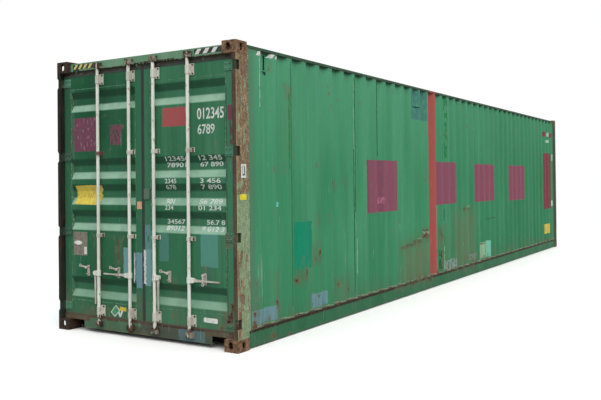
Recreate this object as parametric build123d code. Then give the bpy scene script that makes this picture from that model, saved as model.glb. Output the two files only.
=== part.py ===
from build123d import *
import os

# Forty foot high cube freight container. All sizes in millimetres.
# Origin on the ground under the middle of the box, +Z up, +Y towards the closed front end,
# so the doors face -Y and the right door is at +X.

# Outside size
length = 12192
width = 2438
height = 2896

# Corner castings and their apertures
casting_length = 178
casting_width = 162
casting_height = 118
casting_side_wall = 14
casting_plate = 28.5
casting_edge_radius = 10
stacking_hole_length = 124
stacking_hole_width = 63.5
stacking_hole_from_end = 103.5
stacking_hole_from_side = 89.5
face_hole_height = 79.5
face_hole_width = 51
face_hole_from_edge = 89

# Sheet metal and pressed section thicknesses
wall_sheet = 2
roof_sheet = 2
roof_end_plate = 3
post_plate = 6
header_plate = 4
rail_plate = 4.5
top_rail_plate = 3
crossmember_plate = 4
tunnel_plate = 3

# How far each surface stands back from the outside faces of the castings
post_setback = 3
wall_setback = 8
bottom_rail_setback = 14
top_rail_setback = 5
front_setback = 6
door_setback = 52

# Side wall corrugation
side_corrugation_depth = 36
side_flat = 72
side_slope = 68
side_inner_flat = 71.5
side_first_flat_centre = 367

# Front wall corrugation
front_corrugation_depth = 45.6
front_outer_flat = 110
front_inner_flat = 104
front_slope = 18

# Roof ribs
roof_rib_pitch = 209
roof_rib_width = 118
roof_rib_height = 20
roof_rib_slope = 13.5
roof_rib_edge_margin = 75
roof_rib_end_margin = 120

# Rails
bottom_rail_low = 13
bottom_rail_above_floor = 4
bottom_rail_upper_flange = 48
bottom_rail_lower_flange = 30
top_rail_width = 60
top_rail_height = 26
roof_drop = 28
front_top_rail_section = 60
front_bottom_rail_depth = 54

# Floor structure
crossmember_height = 122
crossmember_upper_flange = 45
crossmember_lower_flange = 40
crossmember_count = 28
crossmember_end_margin = 240
floor_thickness = 28
floor_side_clearance = 5
floor_rows = 5
floor_gap = 3

# Gooseneck tunnel under the front end
tunnel_length = 3315
tunnel_half_width = 514.5
tunnel_bow_width = 60
tunnel_bow_height = 16.5

# Door end: opening, posts, header and sill
door_post_width = 46
door_post_depth = 200
opening_drop = 144
opening_below_floor = 0.5
header_face_height = 83
header_depth = 66
header_lip_depth = 8
sill_upper_depth = 120
sill_notch_width = 187
sill_apron_low = 40
sill_apron_flange = 58

# Door leaves
leaf_thickness = 50
leaf_centre_edge = 15
leaf_side_gap = 10
leaf_bottom_gap = 13
leaf_top_gap = 15
centre_stile_width = 88
hinge_stile_width = 105
leaf_rail_height = 100
gasket_gap = 5
gasket_centre_gap = 4
gasket_setback = 8
gasket_thickness = 30
panel_corrugation_depth = 38
panel_corrugation_flat = 72
panel_corrugation_slope = 70
low_corrugation_rise = 294
high_corrugation_drop = 283
middle_corrugation_pitch = 272
middle_corrugation_rise = 1.5
panel_crease_radius = 30

# Hinges
hinge_pin_from_side = 22
hinge_pin_from_end = 20
hinge_pin_radius = 8
hinge_bore_clearance = 0.3
hinge_knuckle_wall = 5.7
hinge_blade_height = 90
hinge_blade_plate = 8
hinge_blade_reach = 148
hinge_arm_thickness = 10
hinge_lug_thickness = 12
hinge_lug_clearance = 1
hinge_notch_behind_leaf = 8
hinges_above_leaf_bottom = [80, 880]
hinges_below_leaf_top = [872, 72]

# Locking rods, cams and keepers
inner_rod_from_leaf_edge = 153
outer_rod_beyond_leaf_middle = 29.5
rod_radius = 17
rod_from_end = 24
rod_clearance = 0.5
cam_radius = 22
cam_thickness = 28
cam_height = 40
top_cam_above_face = 33
bottom_cam_below_opening = 61
keeper_height = 56
keeper_half_width = 38
keeper_clearance = 1.5
keeper_mouth = 32
keeper_front = 6

# Rod brackets on the leaves: distance from the leaf's bottom or top edge, plate height and
# housing height of each
low_brackets = [(65, 110, 84), (854, 42, 36)]
high_brackets = [(845, 46, 38), (67, 112, 84)]
bracket_plate = 6
bracket_plate_short_side = 24
bracket_plate_long_side = 64
bracket_housing_wall = 5.5

# Handles
handle_height = 635
hub_offset = 50
hub_sleeve_wall = 7
hub_sleeve_height = 56
hub_ear_thickness = 9
hub_ear_radius = 24
hub_pin_radius = 6
hub_pin_clearance = 0.3
handle_thickness = 10
handle_side_clearance = 1
handle_eye_radius = 17
handle_root_half_height = 16
handle_root_length = 95
handle_bar_half_height = 10
handle_grip_half_height = 7
handle_bar_length = 165
handle_grip_start = 190
handle_end_clearance = 73

# Catches and hasps that hold the handles
catch_offset = 180
catch_plate_width = 36
catch_plate_below_handle = 39
catch_plate_above_handle = 73
catch_ledge_width = 20
catch_ledge_thickness = 6
catch_ledge_gap = 1
hasp_pivot_above_handle = 55
hasp_axle_radius = 6
hasp_thickness = 6
hasp_handle_gap = 6
hasp_eye_radius = 15
hasp_length = 86
hasp_tongue_width = 15
hasp_ring_radius = 16
hasp_ring_hole = 9
hasp_open_angle = 100

# Small cover plate on the middle stile of the right leaf
cover_edge = 20
cover_width = 78
cover_low = 1412
cover_height = 108
cover_depth = 14
cover_corner_radius = 9

# Places that several pieces share
side_x = width / 2
door_y = -length / 2
front_y = length / 2
crossmember_low = bottom_rail_low + rail_plate
floor_underside = crossmember_low + crossmember_height
floor_top = floor_underside + floor_thickness
bottom_rail_top = floor_top + bottom_rail_above_floor + rail_plate
tunnel_height = floor_underside - tunnel_bow_height - tunnel_plate
roof_underside = height - roof_drop
top_rail_low = roof_underside - top_rail_height
floor_half_width = side_x - wall_setback - side_corrugation_depth - wall_sheet - floor_side_clearance
opening_half_width = side_x - post_setback - door_post_width
opening_low = floor_top - opening_below_floor
opening_high = height - opening_drop
header_face_low = roof_underside - header_face_height
leaf_face_y = door_y + door_setback
leaf_back_y = leaf_face_y + leaf_thickness
leaf_hinge_edge = opening_half_width - leaf_side_gap
leaf_low = opening_low + leaf_bottom_gap
leaf_high = opening_high - leaf_top_gap
leaf_middle_x = (leaf_centre_edge + leaf_hinge_edge) / 2
leaf_panel_centre_edge = leaf_centre_edge + centre_stile_width
leaf_panel_hinge_edge = leaf_hinge_edge - hinge_stile_width
hinge_x = side_x - hinge_pin_from_side
hinge_y = door_y + hinge_pin_from_end
hinge_knuckle_radius = hinge_pin_radius + hinge_bore_clearance + hinge_knuckle_wall
hinge_heights = [leaf_low + rise for rise in hinges_above_leaf_bottom]
hinge_heights += [leaf_high - drop for drop in hinges_below_leaf_top]
rod_y = door_y + rod_from_end
inner_rod_x = leaf_centre_edge + inner_rod_from_leaf_edge
outer_rod_x = leaf_middle_x + outer_rod_beyond_leaf_middle
top_cam_middle = header_face_low + top_cam_above_face
bottom_cam_middle = opening_low - bottom_cam_below_opening
bracket_rows = [(leaf_low + rise, plate, housing) for rise, plate, housing in low_brackets]
bracket_rows += [(leaf_high - drop, plate, housing) for drop, plate, housing in high_brackets]
bracket_housing_radius = rod_radius + rod_clearance + bracket_housing_wall
hub_sleeve_radius = rod_radius + hub_sleeve_wall
handle_reach = outer_rod_x - inner_rod_x - hub_offset - handle_end_clearance
handle_front_y = rod_y - handle_thickness / 2
hasp_pivot_height = handle_height + hasp_pivot_above_handle
hasp_front_y = handle_front_y - hasp_handle_gap - hasp_thickness
MIRROR_SIDE = Plane.YZ
MIRROR_END = Plane.XZ


def block(x, y, z):
    """Box between a low and a high value along each axis."""
    centre = Pos((x[0] + x[1]) / 2, (y[0] + y[1]) / 2, (z[0] + z[1]) / 2)
    return centre * Box(x[1] - x[0], y[1] - y[0], z[1] - z[0])


def upright(outline, low, high):
    """A plan outline (a list of points or a sketch) raised from low to high."""
    sketch = Polygon(*outline, align=None) if isinstance(outline, list) else outline
    return Pos(0, 0, low) * extrude(sketch, amount=high - low, dir=(0, 0, 1))


def crosswise(outline, low, high):
    """A section (a list of (y, z) points or a sketch) run along X from low to high."""
    sketch = Polygon(*outline, align=None) if isinstance(outline, list) else outline
    return extrude(Plane.YZ.offset(low) * sketch, amount=high - low, dir=(1, 0, 0))


def lengthwise(points, low, high):
    """A section of (x, z) points run along Y from low to high."""
    section = Plane.XZ.offset(-low) * Polygon(*points, align=None)
    return extrude(section, amount=high - low, dir=(0, 1, 0))


def inner_outline(points, wall):
    """Points of the same outline, moved in by one wall thickness."""
    ring = offset(Polygon(*points, align=None), amount=-wall, kind=Kind.INTERSECTION)
    return [(p.X, p.Y) for p in ring.face().outer_wire().order_edges().vertices()]


def both_sides(shape):
    """The shape and its copy on the other side of the container."""
    return [shape, mirror(shape, about=MIRROR_SIDE)]


def save(shape, name):
    """Write one named piece, or a group of like pieces, to its own file."""
    solids = shape if isinstance(shape, list) else [shape]
    bodies = [solid for item in solids for solid in item.solids()]
    result = bodies[0] if len(bodies) == 1 else Compound(children=bodies)
    export_step(result, f"parts/{name}.step")


def creases(flats, face, depth):
    """Creases of a pressed sheet: flats lists (start, end, is_deep) along the wall."""
    line = []
    for start, end, deep in flats:
        level = face + depth if deep else face
        line += [(start, level), (end, level)]
    return line


def corrugated_strip(flats, face, depth, sheet):
    """Outline of a pressed sheet with sharp creases."""
    near = creases(flats, face, depth)
    far = [(along, level + sheet) for along, level in reversed(near)]
    return near + far


def corner_casting():
    """Bottom casting of the right rear corner: a hollow block with three apertures."""
    x = (side_x - casting_width, side_x)
    y = (door_y, door_y + casting_length)
    body = block(x, y, (0, casting_height))
    upright_edges = body.edges().filter_by(Axis.Z).sort_by(Axis.Y)[:2].sort_by(Axis.X)[1:]
    body = fillet(upright_edges, casting_edge_radius)
    body -= block(
        (x[0] + casting_side_wall, x[1] - casting_side_wall),
        (y[0] + casting_side_wall, y[1] - casting_side_wall),
        (casting_plate, casting_height - casting_plate),
    )
    hole_x = side_x - stacking_hole_from_side
    hole_y = door_y + stacking_hole_from_end
    stacking = Rot(0, 0, 90) * SlotOverall(stacking_hole_length, stacking_hole_width)
    body -= Pos(hole_x, hole_y, 0) * extrude(stacking, amount=2 * casting_plate, both=True)
    face_hole = Rot(0, 0, 90) * SlotOverall(face_hole_height, face_hole_width)
    side_hole = Pos(0, door_y + face_hole_from_edge, casting_height / 2) * (Plane.YZ * face_hole)
    body -= Pos(side_x, 0, 0) * extrude(side_hole, amount=2 * casting_side_wall, both=True)
    end_hole = Pos(side_x - face_hole_from_edge, 0, casting_height / 2) * (Plane.XZ * face_hole)
    body -= Pos(0, door_y, 0) * extrude(end_hole, amount=2 * casting_side_wall, both=True)
    return body


def door_post():
    """Right door post: a pressed box, notched at each hinge for the lugs and the pin."""
    x = (opening_half_width, side_x - post_setback)
    y = (door_y + post_setback, door_y + door_post_depth)
    casting_end = door_y + casting_length
    top_casting = height - casting_height
    post = block(x, y, (casting_height, top_rail_low))
    post -= block(
        (x[0] + post_plate, x[1] - post_plate),
        (y[0] + post_plate, y[1] - post_plate),
        (casting_height, top_rail_low),
    )
    post -= block(x, (y[0], casting_end), (top_casting, top_rail_low))
    post -= block(x, (casting_end, y[1]), (casting_height, bottom_rail_top))
    notch_half = hinge_blade_height / 2 + hinge_lug_clearance + hinge_lug_thickness
    notch_back = leaf_face_y + hinge_notch_behind_leaf
    lug_middle = Pos((x[0] + x[1]) / 2, (y[0] + notch_back) / 2)
    lug_plan = lug_middle * Rectangle(x[1] - x[0], notch_back - y[0])
    lug_plan = fillet(lug_plan.vertices().group_by(Axis.Y)[0], hinge_knuckle_radius)
    pin_plan = Pos(hinge_x, hinge_y) * Circle(hinge_pin_radius)
    for middle in hinge_heights:
        low = middle - notch_half
        high = middle + notch_half
        post -= block(x, (y[0], notch_back), (low, high))
        post += block(x, (notch_back, notch_back + post_plate), (low, high))
        post += upright(lug_plan, low, low + hinge_lug_thickness)
        post += upright(lug_plan, high - hinge_lug_thickness, high)
        post += upright(pin_plan, low, high)
    return post


def front_post():
    """Right front corner post: a pressed box with a slanted inner side."""
    inner_leg = post_setback + side_corrugation_depth + wall_sheet + wall_setback
    outline = [
        (side_x - casting_width, front_y - post_setback),
        (side_x - post_setback, front_y - post_setback),
        (side_x - post_setback, front_y - casting_length),
        (side_x - inner_leg, front_y - casting_length),
        (side_x - casting_width, front_y - inner_leg - post_plate),
    ]
    tube = upright(outline, casting_height, height - casting_height)
    bore = upright(inner_outline(outline, post_plate), casting_height, height - casting_height)
    return tube - bore


def door_header():
    """Box header over the doors, with a set back lip that the leaves close under."""
    back = leaf_face_y + header_depth
    lip = leaf_face_y + header_lip_depth
    outline = [
        (leaf_face_y, header_face_low),
        (leaf_face_y, roof_underside),
        (back, roof_underside),
        (back, opening_high),
        (lip, opening_high),
        (lip, header_face_low),
    ]
    beam = crosswise(outline, -opening_half_width, opening_half_width)
    beam -= crosswise(inner_outline(outline, header_plate), -opening_half_width, opening_half_width)
    beside_casting = block(
        (side_x - casting_width, opening_half_width),
        (leaf_face_y, back),
        (height - casting_height, roof_underside),
    )
    for piece in both_sides(beside_casting):
        beam -= piece
    return beam


def door_sill():
    """Hollow upper beam between the posts, with a flanged apron plate between the notches."""
    back = leaf_face_y + sill_upper_depth
    upper = [
        (leaf_face_y, casting_height),
        (leaf_face_y, opening_low),
        (back, opening_low),
        (back, casting_height),
    ]
    beam = crosswise(upper, -opening_half_width, opening_half_width)
    beam -= crosswise(inner_outline(upper, post_plate), -opening_half_width, opening_half_width)
    apron = [
        (leaf_face_y, sill_apron_low),
        (leaf_face_y, casting_height),
        (leaf_face_y + post_plate, casting_height),
        (leaf_face_y + post_plate, sill_apron_low + post_plate),
        (leaf_face_y + sill_apron_flange, sill_apron_low + post_plate),
        (leaf_face_y + sill_apron_flange, sill_apron_low),
    ]
    apron_half_width = side_x - casting_width - sill_notch_width
    return beam + crosswise(apron, -apron_half_width, apron_half_width)


def side_wall():
    """Right side wall: one long pressed sheet with upright corrugations."""
    start = door_y + door_post_depth
    end = front_y - casting_length
    first = door_y + side_first_flat_centre
    pitch = side_flat + 2 * side_slope + side_inner_flat
    bays = round((length - 2 * side_first_flat_centre) / pitch)
    pitch = (length - 2 * side_first_flat_centre) / bays
    inner_half = side_inner_flat / 2
    flats = []
    flat_start = start
    for bay in range(bays):
        outer_end = first + bay * pitch + side_flat / 2
        inner_middle = first + (bay + 0.5) * pitch
        flats.append((flat_start, outer_end, False))
        flats.append((inner_middle - inner_half, inner_middle + inner_half, True))
        flat_start = first + (bay + 1) * pitch - side_flat / 2
    flats.append((flat_start, end, False))
    strip = corrugated_strip(flats, wall_setback, side_corrugation_depth, wall_sheet)
    outline = [(side_x - inward, along) for along, inward in strip]
    return upright(outline, bottom_rail_top, top_rail_low)


def front_wall():
    """Closed front end: a pressed sheet with upright corrugations between the posts."""
    half = side_x - casting_width
    pitch = front_outer_flat + front_inner_flat + 2 * front_slope
    bays = int(2 * half / pitch)
    first = -(bays - 1) * pitch / 2
    flats = []
    flat_start = -half
    for bay in range(bays):
        inner_middle = first + bay * pitch
        outer_end = inner_middle - front_inner_flat / 2 - front_slope
        flats.append((flat_start, outer_end, False))
        flats.append((inner_middle - front_inner_flat / 2, inner_middle + front_inner_flat / 2, True))
        flat_start = inner_middle + front_inner_flat / 2 + front_slope
    flats.append((flat_start, half, False))
    strip = corrugated_strip(flats, front_setback, front_corrugation_depth, wall_sheet)
    outline = [(along, front_y - inward) for along, inward in strip]
    return upright(outline, bottom_rail_top, roof_underside - front_top_rail_section)


def roof():
    """Roof sheet with pressed cross ribs, between the end plates."""
    half = side_x - top_rail_setback
    rib_half = half - roof_rib_edge_margin
    half_length = front_y - casting_length
    ribs = int(2 * (half_length - roof_rib_end_margin) / roof_rib_pitch)
    sheet_top = roof_underside + roof_sheet
    sheet = block((-half, half), (-half_length, half_length), (roof_underside, sheet_top))
    rib_top = sheet_top + roof_rib_height
    under_width = roof_rib_width - 2 * roof_sheet
    upper = rib_solid(rib_half, roof_rib_width, sheet_top, rib_top)
    under = rib_solid(rib_half - roof_sheet, under_width, roof_underside, rib_top - roof_sheet)
    places = [Pos(0, (k - (ribs - 1) / 2) * roof_rib_pitch, 0) for k in range(ribs)]
    sheet += [place * upper for place in places]
    return sheet - [place * under for place in places]


def rib_solid(half_length, rib_width, low, high):
    """One roof rib as a solid that narrows upwards."""
    foot = Pos(0, 0, low) * Rectangle(2 * half_length, rib_width)
    crown = Rectangle(2 * (half_length - roof_rib_slope), rib_width - 2 * roof_rib_slope)
    return loft([foot, Pos(0, 0, high) * crown])


def roof_end_plates():
    """Flat plates on the header and the front rail, which close the roof between the castings."""
    half = side_x - casting_width
    thickness = (roof_underside, roof_underside + roof_end_plate)
    over_header = block((-half, half), (leaf_face_y, door_y + casting_length), thickness)
    over_front = block((-half, half), (front_y - casting_length, front_y - front_setback), thickness)
    return [over_header, over_front]


def top_side_rail():
    """Right top side rail: a flat tube between the castings."""
    outer = side_x - top_rail_setback
    outline = [
        (outer - top_rail_width, top_rail_low),
        (outer, top_rail_low),
        (outer, roof_underside),
        (outer - top_rail_width, roof_underside),
    ]
    ends = (door_y + casting_length, front_y - casting_length)
    return lengthwise(outline, *ends) - lengthwise(inner_outline(outline, top_rail_plate), *ends)


def bottom_side_rail():
    """Right bottom side rail: a channel with its flanges turned inwards."""
    web = side_x - bottom_rail_setback
    outline = [
        (web, bottom_rail_low),
        (web, bottom_rail_top),
        (web - bottom_rail_upper_flange, bottom_rail_top),
        (web - bottom_rail_upper_flange, bottom_rail_top - rail_plate),
        (web - rail_plate, bottom_rail_top - rail_plate),
        (web - rail_plate, bottom_rail_low + rail_plate),
        (web - bottom_rail_lower_flange, bottom_rail_low + rail_plate),
        (web - bottom_rail_lower_flange, bottom_rail_low),
    ]
    return lengthwise(outline, door_y + casting_length, front_y - casting_length)


def front_top_rail():
    """Square tube over the front wall."""
    face = front_y - front_setback
    back = face - front_top_rail_section
    low = roof_underside - front_top_rail_section
    outline = [(back, low), (face, low), (face, roof_underside), (back, roof_underside)]
    half = side_x - casting_width
    bore = crosswise(inner_outline(outline, header_plate), -half, half)
    return crosswise(outline, -half, half) - bore


def front_bottom_rail():
    """Tube under the front wall, cut out in the middle for the gooseneck tunnel."""
    face = front_y - front_setback
    back = face - front_bottom_rail_depth
    outline = [
        (back, bottom_rail_low),
        (face, bottom_rail_low),
        (face, bottom_rail_top),
        (back, bottom_rail_top),
    ]
    half = side_x - casting_width
    rail = crosswise(outline, -half, half)
    rail -= crosswise(inner_outline(outline, rail_plate), -half, half)
    tunnel_outside = tunnel_half_width + crossmember_plate
    tunnel_top = tunnel_height + tunnel_plate
    return rail - block((-tunnel_outside, tunnel_outside), (back, face), (bottom_rail_low, tunnel_top))


def crossmember_places():
    """Distance along the container of each crossmember's web."""
    first = door_y + crossmember_end_margin
    pitch = (length - 2 * crossmember_end_margin) / (crossmember_count - 1)
    return [first + k * pitch for k in range(crossmember_count)]


def crossmembers():
    """Channels between the bottom rails, in two halves beside the gooseneck tunnel."""
    rail_web = side_x - bottom_rail_setback - rail_plate
    tunnel_outside = tunnel_half_width + crossmember_plate
    tunnel_start = front_y - tunnel_length
    pieces = []
    for web in crossmember_places():
        outline = [
            (web, crossmember_low),
            (web, floor_underside),
            (web + crossmember_upper_flange, floor_underside),
            (web + crossmember_upper_flange, floor_underside - crossmember_plate),
            (web + crossmember_plate, floor_underside - crossmember_plate),
            (web + crossmember_plate, crossmember_low + crossmember_plate),
            (web + crossmember_lower_flange, crossmember_low + crossmember_plate),
            (web + crossmember_lower_flange, crossmember_low),
        ]
        if web + crossmember_upper_flange < tunnel_start:
            pieces.append(crosswise(outline, -rail_web, rail_web))
        else:
            pieces += both_sides(crosswise(outline, tunnel_outside, rail_web))
    return pieces


def gooseneck_tunnel():
    """Tunnel for a gooseneck trailer: two side webs, a top plate, bows and an end plate."""
    start = front_y - tunnel_length
    end = front_y - front_setback
    outside = tunnel_half_width + crossmember_plate
    inside = tunnel_half_width
    outline = [
        (-outside, crossmember_low),
        (-outside, tunnel_height + tunnel_plate),
        (outside, tunnel_height + tunnel_plate),
        (outside, crossmember_low),
        (inside, crossmember_low),
        (inside, tunnel_height),
        (-inside, tunnel_height),
        (-inside, crossmember_low),
    ]
    tunnel = lengthwise(outline, start, end)
    end_plate = (start, start + crossmember_plate)
    tunnel += block((-outside, outside), end_plate, (crossmember_low, floor_underside))
    for web in crossmember_places():
        if web > start + tunnel_bow_width:
            bow = (web, min(web + tunnel_bow_width, end))
            tunnel += block((-outside, outside), bow, (tunnel_height + tunnel_plate, floor_underside))
    return tunnel


def floor_boards():
    """Plywood sheets in two rows, laid on the crossmembers."""
    start = leaf_face_y + sill_upper_depth + floor_gap
    end = front_y - front_setback - front_bottom_rail_depth - floor_gap
    sheet_length = (end - start + floor_gap) / floor_rows - floor_gap
    thickness = (floor_underside, floor_top)
    beside_posts = block(
        (side_x - casting_width - floor_gap, side_x),
        (front_y - casting_length - floor_gap, front_y),
        thickness,
    )
    behind_posts = block(
        (opening_half_width - floor_gap, side_x),
        (door_y, door_y + door_post_depth + floor_gap),
        thickness,
    )
    boards = []
    for row in range(floor_rows):
        low = start + row * (sheet_length + floor_gap)
        board = block((floor_gap / 2, floor_half_width), (low, low + sheet_length), thickness)
        boards += both_sides(board - beside_posts - behind_posts)
    return boards


def leaf_frame():
    """Right leaf: welded tube frame round the panel."""
    faces = (leaf_face_y, leaf_back_y)
    frame = block((leaf_centre_edge, leaf_hinge_edge), faces, (leaf_low, leaf_high))
    return frame - block(
        (leaf_panel_centre_edge, leaf_panel_hinge_edge),
        faces,
        (leaf_low + leaf_rail_height, leaf_high - leaf_rail_height),
    )


def leaf_panel():
    """Right leaf: sheet with five pressed-in bands across it, flush with the frame."""
    low = leaf_low + leaf_rail_height
    high = leaf_high - leaf_rail_height
    half_flat = panel_corrugation_flat / 2
    half_band = half_flat + panel_corrugation_slope
    centre = (leaf_low + leaf_high) / 2 + middle_corrugation_rise
    middles = [
        leaf_low + low_corrugation_rise,
        centre - middle_corrugation_pitch,
        centre,
        centre + middle_corrugation_pitch,
        leaf_high - high_corrugation_drop,
    ]
    flats = []
    flat_start = low
    for middle in middles:
        flats.append((flat_start, middle - half_band, False))
        flats.append((middle - half_flat, middle + half_flat, True))
        flat_start = middle + half_band
    flats.append((flat_start, high, False))
    corners = [(inward, along) for along, inward in creases(flats, leaf_face_y, panel_corrugation_depth)]
    near = FilletPolyline(*corners, radius=panel_crease_radius)
    far = Pos(wall_sheet, 0) * near
    ends = [Line(near @ share, far @ share) for share in (0, 1)]
    section = make_face([*near.edges(), *far.edges(), *ends])
    return crosswise(section, leaf_panel_centre_edge, leaf_panel_hinge_edge)


def leaf_gasket():
    """Right leaf: rubber seal round the edge of the frame."""
    front = leaf_face_y + gasket_setback
    faces = (front, front + gasket_thickness)
    seal = block(
        (gasket_centre_gap, opening_half_width - gasket_gap),
        faces,
        (opening_low + gasket_gap, opening_high - gasket_gap),
    )
    return seal - block((leaf_centre_edge, leaf_hinge_edge), faces, (leaf_low, leaf_high))


def hinge_blades():
    """Right leaf: knuckle round the pin, slanted arm and plate on the leaf's face, four times."""
    plate_front = leaf_face_y - hinge_blade_plate
    arm_end_x = leaf_hinge_edge - hinge_arm_thickness
    half_arm = hinge_arm_thickness / 2
    knuckle = Pos(hinge_x, hinge_y) * Circle(hinge_knuckle_radius)
    bore = Pos(hinge_x, hinge_y) * Circle(hinge_pin_radius + hinge_bore_clearance)
    arm = [
        (leaf_hinge_edge, leaf_face_y),
        (arm_end_x, leaf_face_y),
        (arm_end_x, plate_front),
        (hinge_x - half_arm, hinge_y - half_arm),
        (hinge_x + half_arm, hinge_y + half_arm),
    ]
    blades = []
    for middle in hinge_heights:
        low = middle - hinge_blade_height / 2
        high = middle + hinge_blade_height / 2
        plate_x = (hinge_x - hinge_blade_reach, arm_end_x)
        plate = block(plate_x, (plate_front, leaf_face_y), (low, high))
        blade = upright(knuckle, low, high) + upright(arm, low, high) + plate
        blades.append(blade - upright(bore, low, high))
    return blades


def rod_brackets(rod_places):
    """Plates on the leaf with a housing round each locking rod, four on each rod."""
    bore = rod_radius + rod_clearance
    brackets = []
    for rod_x in rod_places:
        axis = Pos(rod_x, rod_y)
        housing = axis * Circle(bracket_housing_radius)
        neck = Polygon(
            (rod_x - bracket_housing_radius, rod_y),
            (rod_x + bracket_housing_radius, rod_y),
            (rod_x + bracket_housing_radius, leaf_face_y),
            (rod_x - bracket_housing_radius, leaf_face_y),
            align=None,
        )
        plan = housing + neck - axis * Circle(bore)
        for middle, plate_height, housing_height in bracket_rows:
            plate = block(
                (rod_x - bracket_plate_short_side, rod_x + bracket_plate_long_side),
                (leaf_face_y - bracket_plate, leaf_face_y),
                (middle - plate_height / 2, middle + plate_height / 2),
            )
            half = housing_height / 2
            brackets.append(plate + upright(plan, middle - half, middle + half))
    return brackets


def flat_profile(sketch, front, thickness):
    """A sketch of (x, z) shapes given a thickness, with its front face at the given y."""
    placed = Plane.XZ.offset(-front) * sketch
    return extrude(placed, amount=thickness, dir=(0, 1, 0))


def catch(catch_x):
    """Plate on the leaf with a ledge under the handle and an axle for the hasp."""
    ledge_top = handle_height - handle_bar_half_height - catch_ledge_gap
    axle_front = hasp_front_y - hasp_thickness / 2
    plate_front = leaf_face_y - bracket_plate
    plate = block(
        (catch_x - catch_plate_width / 2, catch_x + catch_plate_width / 2),
        (plate_front, leaf_face_y),
        (handle_height - catch_plate_below_handle, handle_height + catch_plate_above_handle),
    )
    ledge = block(
        (catch_x - catch_ledge_width / 2, catch_x + catch_ledge_width / 2),
        (handle_front_y, plate_front),
        (ledge_top - catch_ledge_thickness, ledge_top),
    )
    axle_end = Pos(catch_x, hasp_pivot_height) * Circle(hasp_axle_radius)
    return plate + ledge + flat_profile(axle_end, axle_front, plate_front - axle_front)


def hasp(catch_x, angle):
    """Flat hasp with a seal ring at its end, turned by the given angle from hanging down."""
    tongue = Pos(0, -hasp_length / 2) * Rectangle(hasp_tongue_width, hasp_length)
    ring_centre = Pos(0, -hasp_length)
    sketch = Circle(hasp_eye_radius) + tongue + ring_centre * Circle(hasp_ring_radius)
    sketch -= Circle(hasp_axle_radius + hub_pin_clearance)
    sketch -= ring_centre * Circle(hasp_ring_hole)
    placed = Pos(catch_x, hasp_pivot_height) * Rot(0, 0, -angle) * sketch
    return flat_profile(placed, hasp_front_y, hasp_thickness)


def locking_rod(rod_x, side):
    """Rod with a cam at each end and a forked hub for its handle on the given side."""
    axis = Pos(rod_x, rod_y)
    half_cam = cam_height / 2
    rod = upright(axis * Circle(rod_radius), bottom_cam_middle + half_cam, top_cam_middle - half_cam)
    cam_plan = Circle(cam_radius) & Rectangle(2 * cam_radius, cam_thickness)
    for middle in (bottom_cam_middle, top_cam_middle):
        rod += upright(axis * cam_plan, middle - half_cam, middle + half_cam)
    half_sleeve = hub_sleeve_height / 2
    sleeve_plan = axis * Circle(hub_sleeve_radius)
    rod += upright(sleeve_plan, handle_height - half_sleeve, handle_height + half_sleeve)
    pivot_x = rod_x + side * hub_offset
    ear = Pos(pivot_x, handle_height) * Circle(hub_ear_radius)
    ear += Pos((rod_x + pivot_x) / 2, handle_height) * Rectangle(hub_offset, 2 * hub_ear_radius)
    slot = handle_thickness + 2 * handle_side_clearance
    ear_front = rod_y - slot / 2 - hub_ear_thickness
    ears = flat_profile(ear, ear_front, slot + 2 * hub_ear_thickness)
    beyond_sleeve = (rod_x + side * hub_sleeve_radius, pivot_x + side * hub_ear_radius)
    ears -= block(
        (min(beyond_sleeve), max(beyond_sleeve)),
        (rod_y - slot / 2, rod_y + slot / 2),
        (handle_height - hub_ear_radius, handle_height + hub_ear_radius),
    )
    pin_end = Pos(pivot_x, handle_height) * Circle(hub_pin_radius)
    return rod + ears + flat_profile(pin_end, ear_front, slot + 2 * hub_ear_thickness)


def handle(rod_x, side, hanging):
    """Flat handle bar that tapers from its eye to a narrower grip, level or hanging down."""
    profile = Circle(handle_eye_radius) + Polygon(
        (0, -handle_root_half_height),
        (handle_root_length, -handle_bar_half_height),
        (handle_bar_length, -handle_bar_half_height),
        (handle_grip_start, -handle_grip_half_height),
        (handle_reach - handle_grip_half_height, -handle_grip_half_height),
        (handle_reach - handle_grip_half_height, handle_grip_half_height),
        (handle_grip_start, handle_grip_half_height),
        (handle_bar_length, handle_bar_half_height),
        (handle_root_length, handle_bar_half_height),
        (0, handle_root_half_height),
        align=None,
    )
    profile += Pos(handle_reach - handle_grip_half_height, 0) * Circle(handle_grip_half_height)
    profile -= Circle(hub_pin_radius + hub_pin_clearance)
    heading = -90 if hanging else (0 if side > 0 else 180)
    placed = Pos(rod_x + side * hub_offset, handle_height) * Rot(0, 0, heading) * profile
    return flat_profile(placed, handle_front_y, handle_thickness)


def keeper(rod_x, middle):
    """Keeper on the header or the sill: a block whose narrow mouth holds the cam in."""
    pocket = Pos(rod_x, rod_y) * Circle(cam_radius + keeper_clearance)
    front = door_y + keeper_front
    outline = Polygon(
        (rod_x - keeper_half_width, leaf_face_y),
        (rod_x - keeper_half_width, front),
        (rod_x + keeper_half_width, front),
        (rod_x + keeper_half_width, leaf_face_y),
        align=None,
    )
    mouth = Polygon(
        (rod_x - keeper_mouth / 2, front),
        (rod_x + keeper_mouth / 2, front),
        (rod_x + keeper_mouth / 2, rod_y),
        (rod_x - keeper_mouth / 2, rod_y),
        align=None,
    )
    half = keeper_height / 2
    return upright(outline - pocket - mouth, middle - half, middle + half)


def cover_plate():
    """Small pressed cover on the middle stile of the right leaf."""
    plate = block(
        (cover_edge, cover_edge + cover_width),
        (leaf_face_y - cover_depth, leaf_face_y),
        (cover_low, cover_low + cover_height),
    )
    corners = plate.edges().filter_by(Axis.Y)
    return fillet(corners, cover_corner_radius)


os.makedirs("parts", exist_ok=True)

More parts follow.
